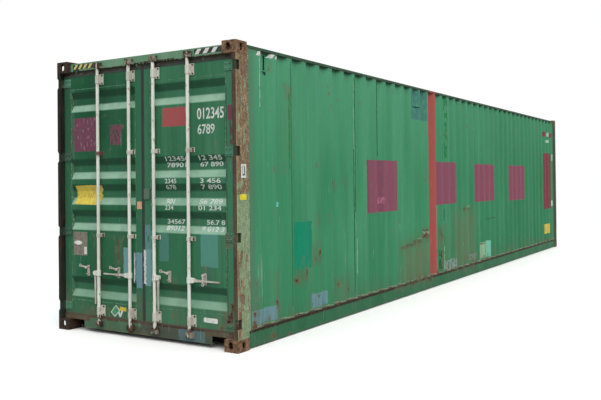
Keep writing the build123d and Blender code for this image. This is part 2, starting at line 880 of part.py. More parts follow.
# Corner castings and posts
right_rear = corner_casting()
rear_pair = both_sides(right_rear)
front_pair = [mirror(piece, about=MIRROR_END) for piece in rear_pair]
roof_plane = Plane.XY.offset(height / 2)
save(rear_pair, "castings_door_bottom")
save(front_pair, "castings_front_bottom")
save([mirror(piece, about=roof_plane) for piece in rear_pair], "castings_door_top")
save([mirror(piece, about=roof_plane) for piece in front_pair], "castings_front_top")
right_post = door_post()
save(right_post, "door_post_right")
save(mirror(right_post, about=MIRROR_SIDE), "door_post_left")
save(both_sides(front_post()), "front_posts")

# Rails, header and sill
save(door_header(), "door_header")
save(door_sill(), "door_sill")
save([front_top_rail(), front_bottom_rail()], "front_rails")
save(both_sides(top_side_rail()), "top_side_rails")
save(both_sides(bottom_side_rail()), "bottom_side_rails")

# Walls, roof and floor
right_wall = side_wall()
save(right_wall, "side_wall_right")
save(mirror(right_wall, about=MIRROR_SIDE), "side_wall_left")
save(front_wall(), "front_wall")
save(roof(), "roof_panel")
save(roof_end_plates(), "roof_end_plates")
save(crossmembers(), "crossmembers")
save(gooseneck_tunnel(), "gooseneck_tunnel")
save(floor_boards(), "floor_boards")

# Door leaves
right_frame = leaf_frame()
right_panel = leaf_panel()
right_gasket = leaf_gasket()
right_blades = hinge_blades()
save(right_frame, "door_right_frame")
save(right_panel, "door_right_panel")
save(right_gasket, "door_right_gasket")
save(right_blades, "door_right_hinges")
save(mirror(right_frame, about=MIRROR_SIDE), "door_left_frame")
save(mirror(right_panel, about=MIRROR_SIDE), "door_left_panel")
save(mirror(right_gasket, about=MIRROR_SIDE), "door_left_gasket")
save([mirror(blade, about=MIRROR_SIDE) for blade in right_blades], "door_left_hinges")

# Locking gear. Rods are numbered from the left. The handles of rods 1 and 3 hang down
# with their hasps open, and those of rods 2 and 4 lie in their catches.
rods = [(-outer_rod_x, -1), (-inner_rod_x, -1), (inner_rod_x, 1), (outer_rod_x, 1)]
hanging = [True, False, True, False]
hasp_open = [True, True, True, False]
save(rod_brackets([x for x, side in rods if side < 0]), "door_left_rod_brackets")
save(rod_brackets([x for x, side in rods if side > 0]), "door_right_rod_brackets")
catches = [catch(x + side * catch_offset) for x, side in rods]
save(catches[:2], "door_left_catches")
save(catches[2:] + [cover_plate()], "door_right_catches")
for number, (rod_x, side) in enumerate(rods, start=1):
    save(locking_rod(rod_x, side), f"locking_rod_{number}")
    save(handle(rod_x, side, hanging[number - 1]), f"handle_{number}")
    angle = hasp_open_angle if hasp_open[number - 1] else 0
    save(hasp(rod_x + side * catch_offset, angle), f"hasp_{number}")
cam_heights = (bottom_cam_middle, top_cam_middle)
save([keeper(rod_x, middle) for rod_x, side in rods for middle in cam_heights], "cam_keepers")
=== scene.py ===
import bmesh
import bpy
import math
import random
from mathutils import Matrix, Quaternion, Vector
from mathutils.bvhtree import BVHTree


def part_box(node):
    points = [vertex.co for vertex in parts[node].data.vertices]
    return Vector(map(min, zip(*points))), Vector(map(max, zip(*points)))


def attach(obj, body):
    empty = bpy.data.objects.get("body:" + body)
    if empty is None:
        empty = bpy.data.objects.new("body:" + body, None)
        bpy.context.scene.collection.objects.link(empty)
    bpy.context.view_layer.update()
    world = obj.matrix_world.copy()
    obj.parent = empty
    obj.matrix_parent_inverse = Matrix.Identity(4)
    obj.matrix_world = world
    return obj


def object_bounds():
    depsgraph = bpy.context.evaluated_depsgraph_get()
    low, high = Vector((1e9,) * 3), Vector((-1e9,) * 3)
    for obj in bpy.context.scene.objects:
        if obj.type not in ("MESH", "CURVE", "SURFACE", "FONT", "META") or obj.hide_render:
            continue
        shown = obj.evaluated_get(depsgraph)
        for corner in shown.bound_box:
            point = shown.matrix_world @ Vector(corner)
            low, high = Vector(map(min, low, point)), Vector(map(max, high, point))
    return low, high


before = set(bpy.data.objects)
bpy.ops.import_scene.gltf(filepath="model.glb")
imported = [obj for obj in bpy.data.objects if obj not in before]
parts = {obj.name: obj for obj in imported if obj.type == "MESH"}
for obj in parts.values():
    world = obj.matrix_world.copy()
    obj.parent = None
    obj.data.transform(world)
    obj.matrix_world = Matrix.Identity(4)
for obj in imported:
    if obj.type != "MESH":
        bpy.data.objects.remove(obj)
cad_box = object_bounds()

# Camera
# It stands at eye height off the right rear corner, looking along the side. Its place, aim and
# lens were worked out from the castings, hinges and rods in the photograph.
picture_width, picture_height = 601, 400
principal_x, principal_y = 305.1, 172.7
focal_length = 745.6
heading, tilt, roll = math.radians(-31.78), math.radians(0.59), math.radians(0.62)
lens = bpy.data.cameras.new("camera")
lens.sensor_width = 36
lens.lens = lens.sensor_width * focal_length / picture_width
lens.shift_x = (picture_width / 2 - principal_x) / picture_width
lens.shift_y = (principal_y - picture_height / 2) / picture_width
lens.clip_end = 300
camera = bpy.data.objects.new("camera", lens)
aim = Vector((math.sin(heading) * math.cos(tilt), math.cos(heading) * math.cos(tilt), math.sin(tilt)))
camera.rotation_mode = "QUATERNION"
camera.rotation_quaternion = aim.to_track_quat("-Z", "Y") @ Quaternion((0, 0, 1), -roll)
camera.location = (5.362, -11.589, 1.585)
bpy.context.collection.objects.link(camera)
bpy.context.scene.camera = camera
bpy.context.scene.view_settings.view_transform = "Standard"


# Studio
# Soft daylight from a pale sky that is brighter overhead, one broad lamp off the right side, and
# a pale floor that keeps the shadow and runs out into the white of the background.
def linear(colour):
    """An sRGB hex colour as the linear values that a shader takes."""
    shares = [int(colour[k:k + 2], 16) / 255 for k in (1, 3, 5)]
    return [s / 12.92 if s <= 0.04045 else ((s + 0.055) / 1.055) ** 2.4 for s in shares] + [1]


def add_node(tree, kind, inputs=(), **settings):
    """Adds one shader node with its settings, and sets or links its inputs: a list gives the first
    ones in order, and a dict names them. A node among them stands for its own first output."""
    node = tree.nodes.new("ShaderNode" + kind)
    for name, value in settings.items():
        setattr(node, name, value)
    for socket, value in inputs.items() if isinstance(inputs, dict) else enumerate(inputs):
        if isinstance(value, bpy.types.Node):
            value = value.outputs[0]
        if isinstance(value, bpy.types.NodeSocket):
            tree.links.new(value, node.inputs[socket])
        else:
            node.inputs[socket].default_value = value
    return node


def seen_directly(tree):
    """1 for rays from the camera or off a glossy or clear surface, 0 for those that light things."""
    rays = add_node(tree, "LightPath").outputs
    either = add_node(tree, "Math", [rays["Is Camera Ray"], rays["Is Glossy Ray"]], operation="MAXIMUM")
    return add_node(tree, "Math", [either, rays["Is Transmission Ray"]], operation="MAXIMUM")


sky_low, sky_high = 0.55, 1.7
world = bpy.data.worlds.new("studio")
world.use_nodes = True
bpy.context.scene.world = world
sky = world.node_tree
sky.nodes.clear()
direction = add_node(sky, "SeparateXYZ", [add_node(sky, "TexCoord").outputs["Generated"]]).outputs
strength = add_node(sky, "MapRange", [direction["Z"], 0, 1, sky_low, sky_high])
daylight = add_node(sky, "Background", [linear("#f4f8ff"), strength])
backdrop = add_node(sky, "Background", [linear("#ffffff"), 1])
add_node(sky, "OutputWorld", [add_node(sky, "MixShader", [seen_directly(sky), daylight, backdrop])])

lamp = bpy.data.lights.new("broad_lamp", "SUN")
lamp.energy = 1.6
lamp.angle = math.radians(50)
lamp.color = linear("#fff6ea")[:3]
lamp_object = bpy.data.objects.new("broad_lamp", lamp)
lamp_object.rotation_euler = Vector((1, -0.75, 1.3)).to_track_quat("Z", "Y").to_euler()
bpy.context.collection.objects.link(lamp_object)

floor_size, clear_from, clear_to = 120, 2.5, 9.0
floor_finish = bpy.data.materials.new("studio_floor")
floor_finish.use_nodes = True
tree = floor_finish.node_tree
tree.nodes.clear()
seen = seen_directly(tree)
floor_place = add_node(tree, "NewGeometry").outputs["Position"]
floor_spot = add_node(tree, "SeparateXYZ", [floor_place]).outputs
past_end = add_node(tree, "Math", [floor_spot["Y"]], operation="ABSOLUTE")
past_end = add_node(tree, "Math", [past_end, cad_box[1].y], operation="SUBTRACT")
past_end = add_node(tree, "Math", [past_end, 0], operation="MAXIMUM")
offset = add_node(tree, "CombineXYZ", [floor_spot["X"], past_end])
away = add_node(tree, "VectorMath", [offset], operation="LENGTH").outputs["Value"]
fade = add_node(tree, "MapRange", [away, clear_from, clear_to], interpolation_type="SMOOTHSTEP")
shown = add_node(tree, "Math", [fade, seen], operation="MULTIPLY")
pale = add_node(tree, "BsdfDiffuse", [add_node(tree, "MixRGB", [seen, linear("#7d7d7a"), linear("#f2f2f0")])])
white = add_node(tree, "Emission", [linear("#ffffff"), 1])
add_node(tree, "OutputMaterial", [add_node(tree, "MixShader", [shown, pale, white])])
shape = bmesh.new()
bmesh.ops.create_grid(shape, x_segments=1, y_segments=1, size=floor_size / 2)
floor_mesh = bpy.data.meshes.new("studio_floor")
shape.to_mesh(floor_mesh)
shape.free()
floor_mesh.materials.append(floor_finish)
studio_floor = bpy.data.objects.new("studio_floor", floor_mesh)
bpy.context.collection.objects.link(studio_floor)


# Corner castings
# Eight cast steel blocks with an opening in each outer face, welded to the posts and the rails.
# Their paint wore off long ago, which leaves dull brown rust on the rough skin of the casting.
def start_material(name):
    """An empty material: its node tree and the place of each point in metres."""
    material = bpy.data.materials.new(name)
    material.use_nodes = True
    material.node_tree.nodes.clear()
    place = add_node(material.node_tree, "TexCoord").outputs["Object"]
    return material, material.node_tree, place


def pattern(tree, place, size, detail=4, run=1, shift=0):
    """An uneven pattern with spots of a size in metres, and run times as long upright."""
    spread = {"Vector": place, "Location": (shift,) * 3, "Scale": (1 / size, 1 / size, 1 / (size * run))}
    noise = {"Vector": add_node(tree, "Mapping", spread), "Scale": 1, "Detail": detail}
    return add_node(tree, "TexNoise", noise).outputs["Fac"]


def spots(tree, place, size, above, edge=0.03, cover=1, detail=6, run=1, shift=0):
    """A mask of spots: as strong as cover where the pattern rises above a level."""
    uneven = pattern(tree, place, size, detail, run, shift)
    return add_node(tree, "MapRange", [uneven, above - edge, above + edge, 0, cover])


def coats(tree, ground, layers):
    """Colours laid one after another over a ground, each as far as its mask goes."""
    colour = linear(ground) if isinstance(ground, str) else ground
    for mask, tint in layers:
        colour = add_node(tree, "MixRGB", [mask, colour, linear(tint) if isinstance(tint, str) else tint])
    return colour


def surface(tree, colour, roughness, relief, metallic=0, gloss=0.5):
    """The shader that ends a material. Relief is (pattern, height in metres) pairs, added up."""
    height = 0
    for source, high in relief:
        height = add_node(tree, "Math", [source, high, height], operation="MULTIPLY_ADD")
    bump = add_node(tree, "Bump", {"Height": height, "Distance": 1, "Strength": 1})
    finish = {"Base Color": colour, "Roughness": roughness, "Metallic": metallic, "Normal": bump}
    shader = add_node(tree, "BsdfPrincipled", {**finish, "Specular IOR Level": gloss})
    add_node(tree, "OutputMaterial", [shader])


def dress(material, *names):
    """Gives CAD pieces a material."""
    for name in names:
        parts[name].data.materials.clear()
        parts[name].data.materials.append(material)


def rust_layers(tree, place, dark, brown, bright, run=1):
    """Rust over a dark ground: its layers of colour and its relief."""
    blooms = spots(tree, place, 0.03, 0.56, 0.06, 0.8, 8, run, 2)
    pitted = spots(tree, place, 0.009, 0.6, 0.05, 0.8, 3, 1, 9)
    layers = [(spots(tree, place, 0.05, 0.5, 0.12, 1, 6, run), brown), (blooms, bright), (pitted, dark)]
    relief = [(pattern(tree, place, 0.004, 3), 0.0006), (blooms, 0.0003), (pitted, -0.0004)]
    return layers, relief


def rusted_steel(name, tones, paint_above, run=1, left_darkening=0):
    """Rust from dark to bright, with paint left where its pattern is high. What lies left of the container's
    middle is darker, as far as the last argument says."""
    material, tree, place = start_material(name)
    dark, brown, bright, paint = tones
    paint_left = spots(tree, place, 0.09, paint_above, 0.04, 0.85, 8, run, 5)
    layers, relief = rust_layers(tree, place, dark, brown, bright, run)
    across = add_node(tree, "SeparateXYZ", [place]).outputs["X"]
    grime_and_darkening = add_node(tree, "MapRange", [across, 0.1, -0.1, 0, left_darkening])
    layers += [(paint_left, paint), (grime_and_darkening, "#1e1814")]
    surface(tree, coats(tree, dark, layers), 0.85, relief + [(paint_left, 0.0003)], 0, 0.25)
    return material


cast_steel = rusted_steel("rusted_cast_steel", ("#52402f", "#806450", "#987556", "#6f6752"), 0.68, 1, 0.85)
dress(cast_steel, "castings_door_bottom", "castings_door_top", "castings_front_bottom", "castings_front_top")

# Corner posts
# Pressed and welded steel boxes between the castings. The paint wears off them first, since they
# rub along cranes and stacks: the right one is tan rust with green below, the left one is black.
door_end, half_width = cad_box[0].y, cad_box[1].x
# In metres from the middle, well past every face of the container.
far_off = 9


def box_mask(tree, spot, low, high, soft, cover=1):
    """As strong as cover inside a box between two corners, and 0 outside, with a soft edge. An
    axis that has None is left open."""
    outside = -far_off
    for side, near, far in zip(spot, low, high):
        if near is not None:
            past = add_node(tree, "Math", [side, (near + far) / 2], operation="SUBTRACT")
            past = add_node(tree, "Math", [past], operation="ABSOLUTE")
            past = add_node(tree, "Math", [past, (far - near) / 2], operation="SUBTRACT")
            outside = add_node(tree, "Math", [outside, past], operation="MAXIMUM")
    return add_node(tree, "MapRange", [outside, soft, -soft, 0, cover])


def looks_along(tree):
    """How far each point looks along X, Y and Z."""
    return add_node(tree, "SeparateXYZ", [add_node(tree, "TexCoord").outputs["Normal"]]).outputs


right_post, tree, place = start_material("worn_post_paint")
layers, relief = rust_layers(tree, place, "#5a4637", "#7d694f", "#9a8463", 3)
spot = add_node(tree, "SeparateXYZ", [place]).outputs
repainted = box_mask(tree, spot, (None, None, 0.95), (None, None, 1.46), 0.02, 0.3)
sheltered = box_mask(tree, spot, (None, door_end + 0.08, -0.5), (None, far_off, 1.0), 0.05, 0.14)
kept = pattern(tree, place, 0.045, 9, 3, 5)
thicker = add_node(tree, "Math", [repainted, sheltered], operation="MAXIMUM")
kept = add_node(tree, "Math", [kept, thicker], operation="ADD")
kept = add_node(tree, "Math", [spot["Z"], -0.04, kept], operation="MULTIPLY_ADD")
kept = add_node(tree, "MapRange", [kept, 0.49, 0.56])
post_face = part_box("door_post_right")[1].x
post_corner = (post_face - 0.006, -far_off, None), (far_off, door_end + 0.014, None)
# The outer corner is paler: worn paint, with a painted highlight along the edge.
worn_and_highlit_corner = box_mask(tree, spot, *post_corner, 0.004, 0.5)
faded_spots = spots(tree, place, 0.02, 0.5, 0.1, 0.7, 6, 3, 1)
layers += [
    (kept, "#718a66"),
    (add_node(tree, "Math", [kept, faded_spots], operation="MULTIPLY"), "#94a583"),
    (spots(tree, place, 0.007, 0.62, 0.03, 0.85, 4, 2, 6), "#bcbfa3"),
    (spots(tree, place, 0.012, 0.66, 0.03, 0.8, 5, 2, 3), "#5d4533"),
    (worn_and_highlit_corner, "#b39a70"),
    # Faces that look toward the door end are darkened: painted shade.
    (add_node(tree, "MapRange", [looks_along(tree)["Y"], -0.6, -0.95, 0, 0.85]), "#3d312a"),
]
surface(tree, coats(tree, "#6b523f", layers), 0.85, relief + [(kept, 0.0003)], 0, 0.25)
left_post = rusted_steel("blackened_post_paint", ("#151413", "#211e1a", "#39271d", "#1d2c22"), 0.56, 7)
far_posts = rusted_steel("rusted_post_paint", ("#302a1f", "#403a2b", "#4c3c2c", "#36472f"), 0.47, 7)
dress(right_post, "door_post_right")
dress(left_post, "door_post_left")
dress(far_posts, "front_posts")


# Rails
# Pressed channel and tube of weathering steel, in the same green alkyd coat as the walls: it has
# chalked and faded, with grime and rust that start at the lower edge and at the welds.
def widest(tree, spot, zones, soft, cover=1):
    """One soft mask of all the (low, high) zones."""
    mask = 0
    for low, high in zones:
        zone = box_mask(tree, spot, low, high, soft, cover)
        mask = add_node(tree, "Math", [mask, zone], operation="MAXIMUM")
    return mask


def within_box(tree, spot, low, high, kept):
    """A mask as strong as kept inside a box between two corners, and 0 outside."""
    for side, near, far in zip(spot, low, high):
        if near is not None:
            inside = add_node(tree, "Math", [side, (near + far) / 2, (far - near) / 2], operation="COMPARE")
            kept = add_node(tree, "Math", [inside, kept], operation="MULTIPLY")
    return kept


def shaken(tree, place):
    """The place of each point moved a little to and fro, which makes a mark's edge ragged."""
    shake = add_node(tree, "TexNoise", {"Vector": place, "Scale": 24, "Detail": 5}).outputs["Color"]
    shake = add_node(tree, "VectorMath", [shake, (0.5, 0.5, 0.5)], operation="SUBTRACT")
    shake = add_node(tree, "VectorMath", {0: shake, "Scale": 0.018}, operation="SCALE")
    return add_node(tree, "VectorMath", [place, shake], operation="ADD")


def chalk_sky_light_and_shade(tree, place, looks, height, chalk_and_painted_light):
    """Chalk and painted sky light on what looks up, more of it higher up, and painted shade with grime on
    what looks down.
    """
    higher = add_node(tree, "MapRange", [height, 0.3, 0.9, 0.65, 1])
    upward = add_node(tree, "MapRange", [looks["Z"], 0.03, 0.43])
    chalk_and_sky_light = add_node(tree, "Math", [higher, upward], operation="MULTIPLY")
    cloudy = add_node(tree, "MapRange", [pattern(tree, place, 0.15, 4), 0.35, 0.6, 0.75, 1])
    chalk_and_sky_light = add_node(tree, "Math", [chalk_and_sky_light, cloudy], operation="MULTIPLY")
    chalk_and_sky_light = add_node(tree, "Math", [chalk_and_sky_light, chalk_and_painted_light], operation="MULTIPLY")
    shade_and_grime_below = add_node(tree, "MapRange", [looks["Z"], -0.03, -0.43, 0, min(chalk_and_painted_light, 0.55)])
    return [(chalk_and_sky_light, "#90b39c"), (shade_and_grime_below, "#22402f")]


def inside_coat(tree, place, outward, rusty):
    """The pale coat of the inside, on what faces away from outward."""
    normal = add_node(tree, "TexCoord").outputs["Normal"]
    away = add_node(tree, "VectorMath", [normal, outward], operation="DOT_PRODUCT").outputs["Value"]
    scuffed = [
        (spots(tree, place, 0.5, 0.5, 0.2, 0.6, 4), "#a3a69d"),
        (spots(tree, place, 0.02, 0.66, 0.03, 0.6, 8), "#6d6d64"),
        (add_node(tree, "MapRange", [rusty, 0.66, 0.76, 0, 0.5]), "#7a674f"),
    ]
    return add_node(tree, "MapRange", [away, -0.4, -0.6]), coats(tree, "#b4b7ae", scuffed)


def weathered_paint(name, tones, grime_and_darkening=(0.17, 0.5), patches=(), rust=(), stains=(), bare=(), haze=(),
                    outward=None, chalk_and_painted_light=0.25):
    """Faded paint: tones are its middle, bleached and shaded colour, and grime fades out between two heights.
    Haze is (low, high, soft, colour, cover) for broad changes of tone and for painted shadow, and patches are
    (low, high, colour, wear). Rust, stains under it and bare scratches are (low, high) zones. Chalk with
    painted sky light lies on what looks up, painted shade on what looks down, and what faces away from
    outward has the pale coat of the inside."""
    material, tree, place = start_material(name)
    middle, bleached, shaded = tones
    looks = looks_along(tree)
    spot = add_node(tree, "SeparateXYZ", [place]).outputs
    height = spot["Z"]
    ragged = add_node(tree, "SeparateXYZ", [shaken(tree, place)]).outputs
    layers = [
        (spots(tree, place, 1.3, 0.5, 0.2, 0.6, 3, 2), shaded),
        (spots(tree, place, 0.3, 0.52, 0.15, 0.5, 4, 8, 3), bleached),
        (spots(tree, place, 0.04, 0.56, 0.12, 0.35, 5, 40, 7), shaded),
        (spots(tree, place, 0.014, 0.65, 0.05, 0.3, 3, 60, 4), bleached),
    ]
    colour = coats(tree, middle, layers)
    for low, high, soft, tint, cover in haze:
        colour = coats(tree, colour, [(box_mask(tree, spot, low, high, soft, cover), tint)])
    wear = pattern(tree, place, 0.028, 9, 2.5, 11)
    kept = {}
    for worn in sorted({patch[-1] for patch in patches}):
        bare_above = 0.75 - 0.22 * worn
        kept[worn] = add_node(tree, "MapRange", [wear, bare_above + 0.02, bare_above - 0.02])
    for low, high, tint, worn in patches:
        colour = coats(tree, colour, [(within_box(tree, ragged, low, high, kept[worn]), tint)])

    damp = add_node(tree, "MapRange", [height, *grime_and_darkening, 0.8, 0])
    damp = add_node(tree, "Math", [damp, widest(tree, spot, rust, 0.07, 1.3)], operation="MAXIMUM")
    rubbed = widest(tree, spot, bare, 0.05)
    dirty = spots(tree, place, 0.09, 0.5, 0.15, 0.6, 7, 3, 6)
    dirty = add_node(tree, "Math", [damp, dirty], operation="MULTIPLY")
    run_down = add_node(tree, "MapRange", [pattern(tree, place, 0.05, 5, 20, 13), 0.42, 0.62, 0, 0.4])
    scratch = pattern(tree, place, 0.006, 3, 45, 8)
    scratch = add_node(tree, "Math", [rubbed, 0.16, scratch], operation="MULTIPLY_ADD")
    blisters = pattern(tree, place, 0.09, 10, 1.3, 1)
    rusty = add_node(tree, "Math", [damp, 0.17, blisters], operation="MULTIPLY_ADD")
    flaked = add_node(tree, "MapRange", [rusty, 0.735, 0.775])
    stained = add_node(tree, "Math", [run_down, widest(tree, spot, stains, 0.12)], operation="MULTIPLY")
    layers = [
        (dirty, "#566049"),
        (stained, "#6a6a52"),
        (add_node(tree, "MapRange", [scratch, 0.7, 0.74, 0, 0.75]), "#93b59c"),
        (add_node(tree, "MapRange", [rusty, 0.63, 0.75, 0, 0.6]), "#6b6a53"),
        (flaked, "#66543f"),
        (add_node(tree, "MapRange", [rusty, 0.79, 0.84]), "#41342a"),
    ]
    colour = coats(tree, colour, layers + chalk_sky_light_and_shade(tree, place, looks, height, chalk_and_painted_light))
    if outward:
        colour = coats(tree, colour, [inside_coat(tree, place, outward, rusty)])
    relief = [
        (pattern(tree, place, 0.5, 2), 0.006),
        (add_node(tree, "MapRange", [blisters, 0.6, 0.66]), 0.0003),
        (pattern(tree, place, 0.006, 2), 0.00012),
    ]
    roughness = add_node(tree, "MapRange", [flaked, 0, 1, 0.68, 0.9])
    surface(tree, colour, roughness, relief, 0, 0.12)
    return material


def side_zones(rows):
    """Boxes on both long sides. A row has the start, end, bottom and top of one, in millimetres off
    the door end and the ground, and whatever follows them in a row follows the box."""
    zones = []
    for start, end, low, high, *rest in rows:
        near = (None, door_end + start / 1000, low / 1000)
        far = (None, door_end + end / 1000, high / 1000)
        zones.append((near, far, *rest))
    return zones


rail_tones = ("#2f6a49", "#4a7d5e", "#285a3e")
rail_rust = side_zones([(0, 700, 0, 50), (3400, 4700, 110, 190), (5600, 6600, 110, 190)])
# Along the top of the rail, a dark line of painted shadow under the flange, with rust at the joint.
rail_seam_and_shadow = side_zones([
    (-100, 12300, 158, 190, "#2c2019", 0.0),
    (-100, 12300, 146, 158, "#3a3327", 0.55),
])
bottom_rail_paint = weathered_paint("rail_alkyd_paint", rail_tones, (0.0, 0.05), rail_seam_and_shadow, rail_rust)
band_on_rail = side_zones([(4630, 4920, 2800, 2900, "#8e4c47", 0.3)])
top_tones = ("#33503e", "#4a6b54", "#263a2e")
top_rail_paint = weathered_paint("top_rail_alkyd_paint", top_tones, (2.80, 2.86), band_on_rail)
dress(bottom_rail_paint, "bottom_side_rails", "front_rails")
dress(top_rail_paint, "top_side_rails")

# Crossmembers and gooseneck tunnel
# Pressed channels across the underside and the raised tunnel at the front end, in the dull black
# bitumen coat that keeps road water off them, with rust showing through.
underbody = rusted_steel("bitumen_coat", ("#1f1f1d", "#2b2a27", "#4a372b", "#242423"), 0.5)
dress(underbody, "crossmembers", "gooseneck_tunnel")

# Floor
# Sheets of hardwood plywood on the crossmembers. The grain runs along the container, and years
# of fork lifts and pallets have left it dull, dark and scratched.
plywood, tree, place = start_material("oiled_plywood")
along = add_node(tree, "Mapping", {"Vector": place, "Scale": (60, 1.2, 60)}).outputs[0]
grain = add_node(tree, "TexNoise", {"Vector": along, "Scale": 1, "Detail": 6}).outputs["Fac"]
worn_boards = [
    (add_node(tree, "MapRange", [grain, 0.35, 0.65]), "#7d5a3a"),
    (spots(tree, place, 0.5, 0.52, 0.1, 0.6, 6), "#4a3626"),
    (spots(tree, place, 0.03, 0.66, 0.02, 0.5, 4), "#a08360"),
]
surface(tree, coats(tree, "#5f452e", worn_boards), 0.65, [(grain, 0.0004)])
dress(plywood, "floor_boards")

# Side walls
# One long sheet on each side, pressed into upright corrugations and welded to the rails all round.
# Maroon blocks are brushed on it in a row, and repairs are touched up in other greens. On the right one, a
# dent near the top and a crease are drawn with painted shade.
maroon, red, teal, blue_grey = "#864f60", "#a2524d", "#168767", "#6d939c"
wall_tones = ("#3c8c63", "#59a17b", "#347d56")
painted_out = side_zones([
    (2715, 3590, 1172, 1830, maroon, 0.0),
    (4925, 5755, 1200, 1840, maroon, 0.0),
    (6675, 7620, 1190, 1830, maroon, 0.0),
    (8610, 9585, 1160, 1830, maroon, 0.0),
    (11180, 11765, 900, 2130, "#7a4147", 0.3),
    (11060, 11320, 2490, 2600, "#7a4147", 0.3),
    (11710, 11890, 2490, 2590, "#7a4147", 0.3),
])
# At the foot of the sheet, a dark line of painted shadow and rust at the joint with the rail, with a ragged
# pale line above it.
wall_seam_and_shadow = side_zones([
    (-100, 12300, 186, 200, "#9b9c86", 0.9),
    (-100, 12300, 160, 187, "#3a271d", 0.3),
])
# Broad changes of tone on both walls: lighter towards the top, darker towards the bottom and along the far
# half.
tone_changes_and_painted_shade = side_zones([
    (-500, 12700, 2350, 3500, 0.75, "#62a886", 0.42),
    (7000, 14000, -1000, 4000, 3.5, "#256a42", 0.5),
    (-500, 12700, -900, 350, 0.6, "#2c6548", 0.38),
])
# Painted shadow under the top rail, in the recessed tops of the corrugations.
shadow_under_top_rail = (-1.203, None, 2.815), (1.203, None, 3)
tone_changes_and_painted_shade.append((*shadow_under_top_rail, 0.015, "#22382a", 0.6))
tone_changes_and_painted_shade += side_zones([
    (150, 290, 100, 2900, 0.05, "#56705c", 0.6),
    (3720, 4600, 100, 660, 0.12, "#6b7558", 0.52),
    (5650, 6550, 100, 980, 0.18, "#637c5c", 0.5),
    # Painted shadow beside the far post.
    (11890, 12300, 100, 2900, 0.06, "#2c4430", 0.75),
])
right_repairs_and_painted_shade = side_zones([
    (4632, 4945, 170, 2850, red, 0.0),
    (995, 1385, 800, 1150, teal, 0.0),
    (995, 1385, 650, 800, teal, 0.75),
    (230, 665, 210, 350, blue_grey, 0.55),
    (1370, 1690, 212, 362, blue_grey, 0.55),
    (3990, 4560, 2420, 2850, "#437b70", 0.75),
    (4050, 4300, 2585, 2602, "#1d3430", 0.3),
    (5150, 5700, 205, 345, "#8a9c98", 0.9),
    (6330, 6700, 240, 340, "#7d8f88", 0.9),
    (6800, 7180, 215, 490, "#8fb593", 0.55),
    (7180, 7450, 215, 500, "#74bfa5", 0.3),
    (388, 398, 2300, 2800, "#9fbfa8", 0.75),
    # This row and the next: painted shade in a dent near the top.
    (495, 525, 2670, 2815, "#10211a", 0.3),
    (480, 545, 2625, 2660, "#1c3a2a", 0.75),
    # This row and the next: painted shade along a crease.
    (935, 955, 300, 2800, "#2a7349", 0.55),
    (890, 925, 1700, 2480, "#2d7a4a", 0.75),
    (2325, 2352, 1200, 2850, "#226b3a", 0.55),
    (2300, 2325, 1500, 2850, "#6fa586", 1.1),
    (2290, 2315, 250, 1950, "#21673f", 0.55),
    (2985, 3012, 1880, 2830, "#1c5c34", 0.3),
    (2965, 2985, 1880, 2830, "#26693f", 0.75),
    (5130, 5230, 1850, 2830, "#2b7c4b", 0.9),
    (5290, 5360, 1900, 2830, "#2b7c4b", 1.1),
    (2105, 2130, 480, 960, "#93c0a6", 0.55),
    (2395, 2440, 470, 880, "#8fbfa4", 0.55),
    (2718, 2742, 1175, 1828, "#723f52", 0.3),
    (2965, 3110, 1175, 1828, "#7a4b5d", 0.75),
    (2930, 3150, 1280, 1360, "#a8647e", 1.1),
    (2390, 2402, 1800, 2800, "#83b295", 0.75),
    (6600, 6650, 1215, 1440, "#a3c0a6", 0.75),
    (6600, 6650, 970, 1080, "#a9c4ac", 0.55),
    (6600, 6645, 600, 830, "#a9c4ac", 0.75),
    (4950, 4972, 230, 1190, "#a5b39a", 0.75),
    (5260, 5280, 200, 560, "#a5b39a", 0.75),
    (5020, 5110, 240, 520, "#24492c", 1.1),
    (5170, 5290, 950, 1130, "#2c6244", 0.55),
    (5780, 5810, 1640, 1720, "#b6c4b0", 0.55),
    (5985, 6095, 525, 560, "#c2cdb8", 0.0),
    (6010, 6400, 1075, 1110, "#5e4c3a", 0.9),
    (6180, 6420, 1115, 1140, "#9fae92", 1.1),
    (3650, 3920, 650, 690, "#655a47", 0.9),
    (3850, 4180, 670, 700, "#4a4a37", 0.9),
    (4080, 4380, 690, 735, "#4d4132", 0.9),
    (4330, 4600, 740, 790, "#5f4d3b", 0.9),
    (4420, 4560, 845, 870, "#5c4d3e", 0.9),
    (4440, 4590, 795, 835, "#a3b096", 0.9),
    (4180, 4340, 745, 762, "#94ab8c", 0.9),
    (4900, 4960, 560, 680, "#5f4a40", 1.1),
    (6800, 7150, 455, 480, "#5e4c3a", 0.75),
    (7200, 7700, 875, 890, "#2f5e44", 0.55),
])
smears = [(3650, 3900, 590, 700), (3850, 4350, 670, 735), (4330, 4620, 720, 860), (5600, 5800, 490, 600)]
smears += [(6020, 6340, 1060, 1140), (1030, 1290, 500, 640), (1410, 1540, 700, 860), (1470, 1500, 1120, 1200)]
smears += [(1900, 2000, 250, 440), (2120, 2210, 310, 480), (310, 350, 240, 620), (630, 670, 250, 640)]
smears += [(900, 960, 2450, 2530), (2090, 2180, 1510, 1590), (1840, 1900, 1490, 1530), (5000, 5300, 650, 850)]
run_downs = [(3650, 4620, 150, 800), (5000, 5330, 150, 700), (5600, 6700, 150, 1080), (1420, 1520, 250, 1150)]
run_downs += [(300, 360, 150, 600), (620, 680, 150, 620), (1900, 2220, 150, 450), (880, 960, 1700, 2500)]
right_bare = side_zones([(2060, 2130, 400, 950), (2330, 2420, 450, 1100), (330, 460, 450, 900)])
left_repairs = side_zones([
    (7900, 8300, 260, 620, teal, 0.3),
    (1900, 2300, 200, 340, blue_grey, 0.55),
    (10100, 10500, 200, 520, "#74b391", 0.55),
    (3300, 3340, 300, 2800, "#2a6a49", 0.55),
    (600, 660, 700, 2600, "#5f7a63", 0.75),
])
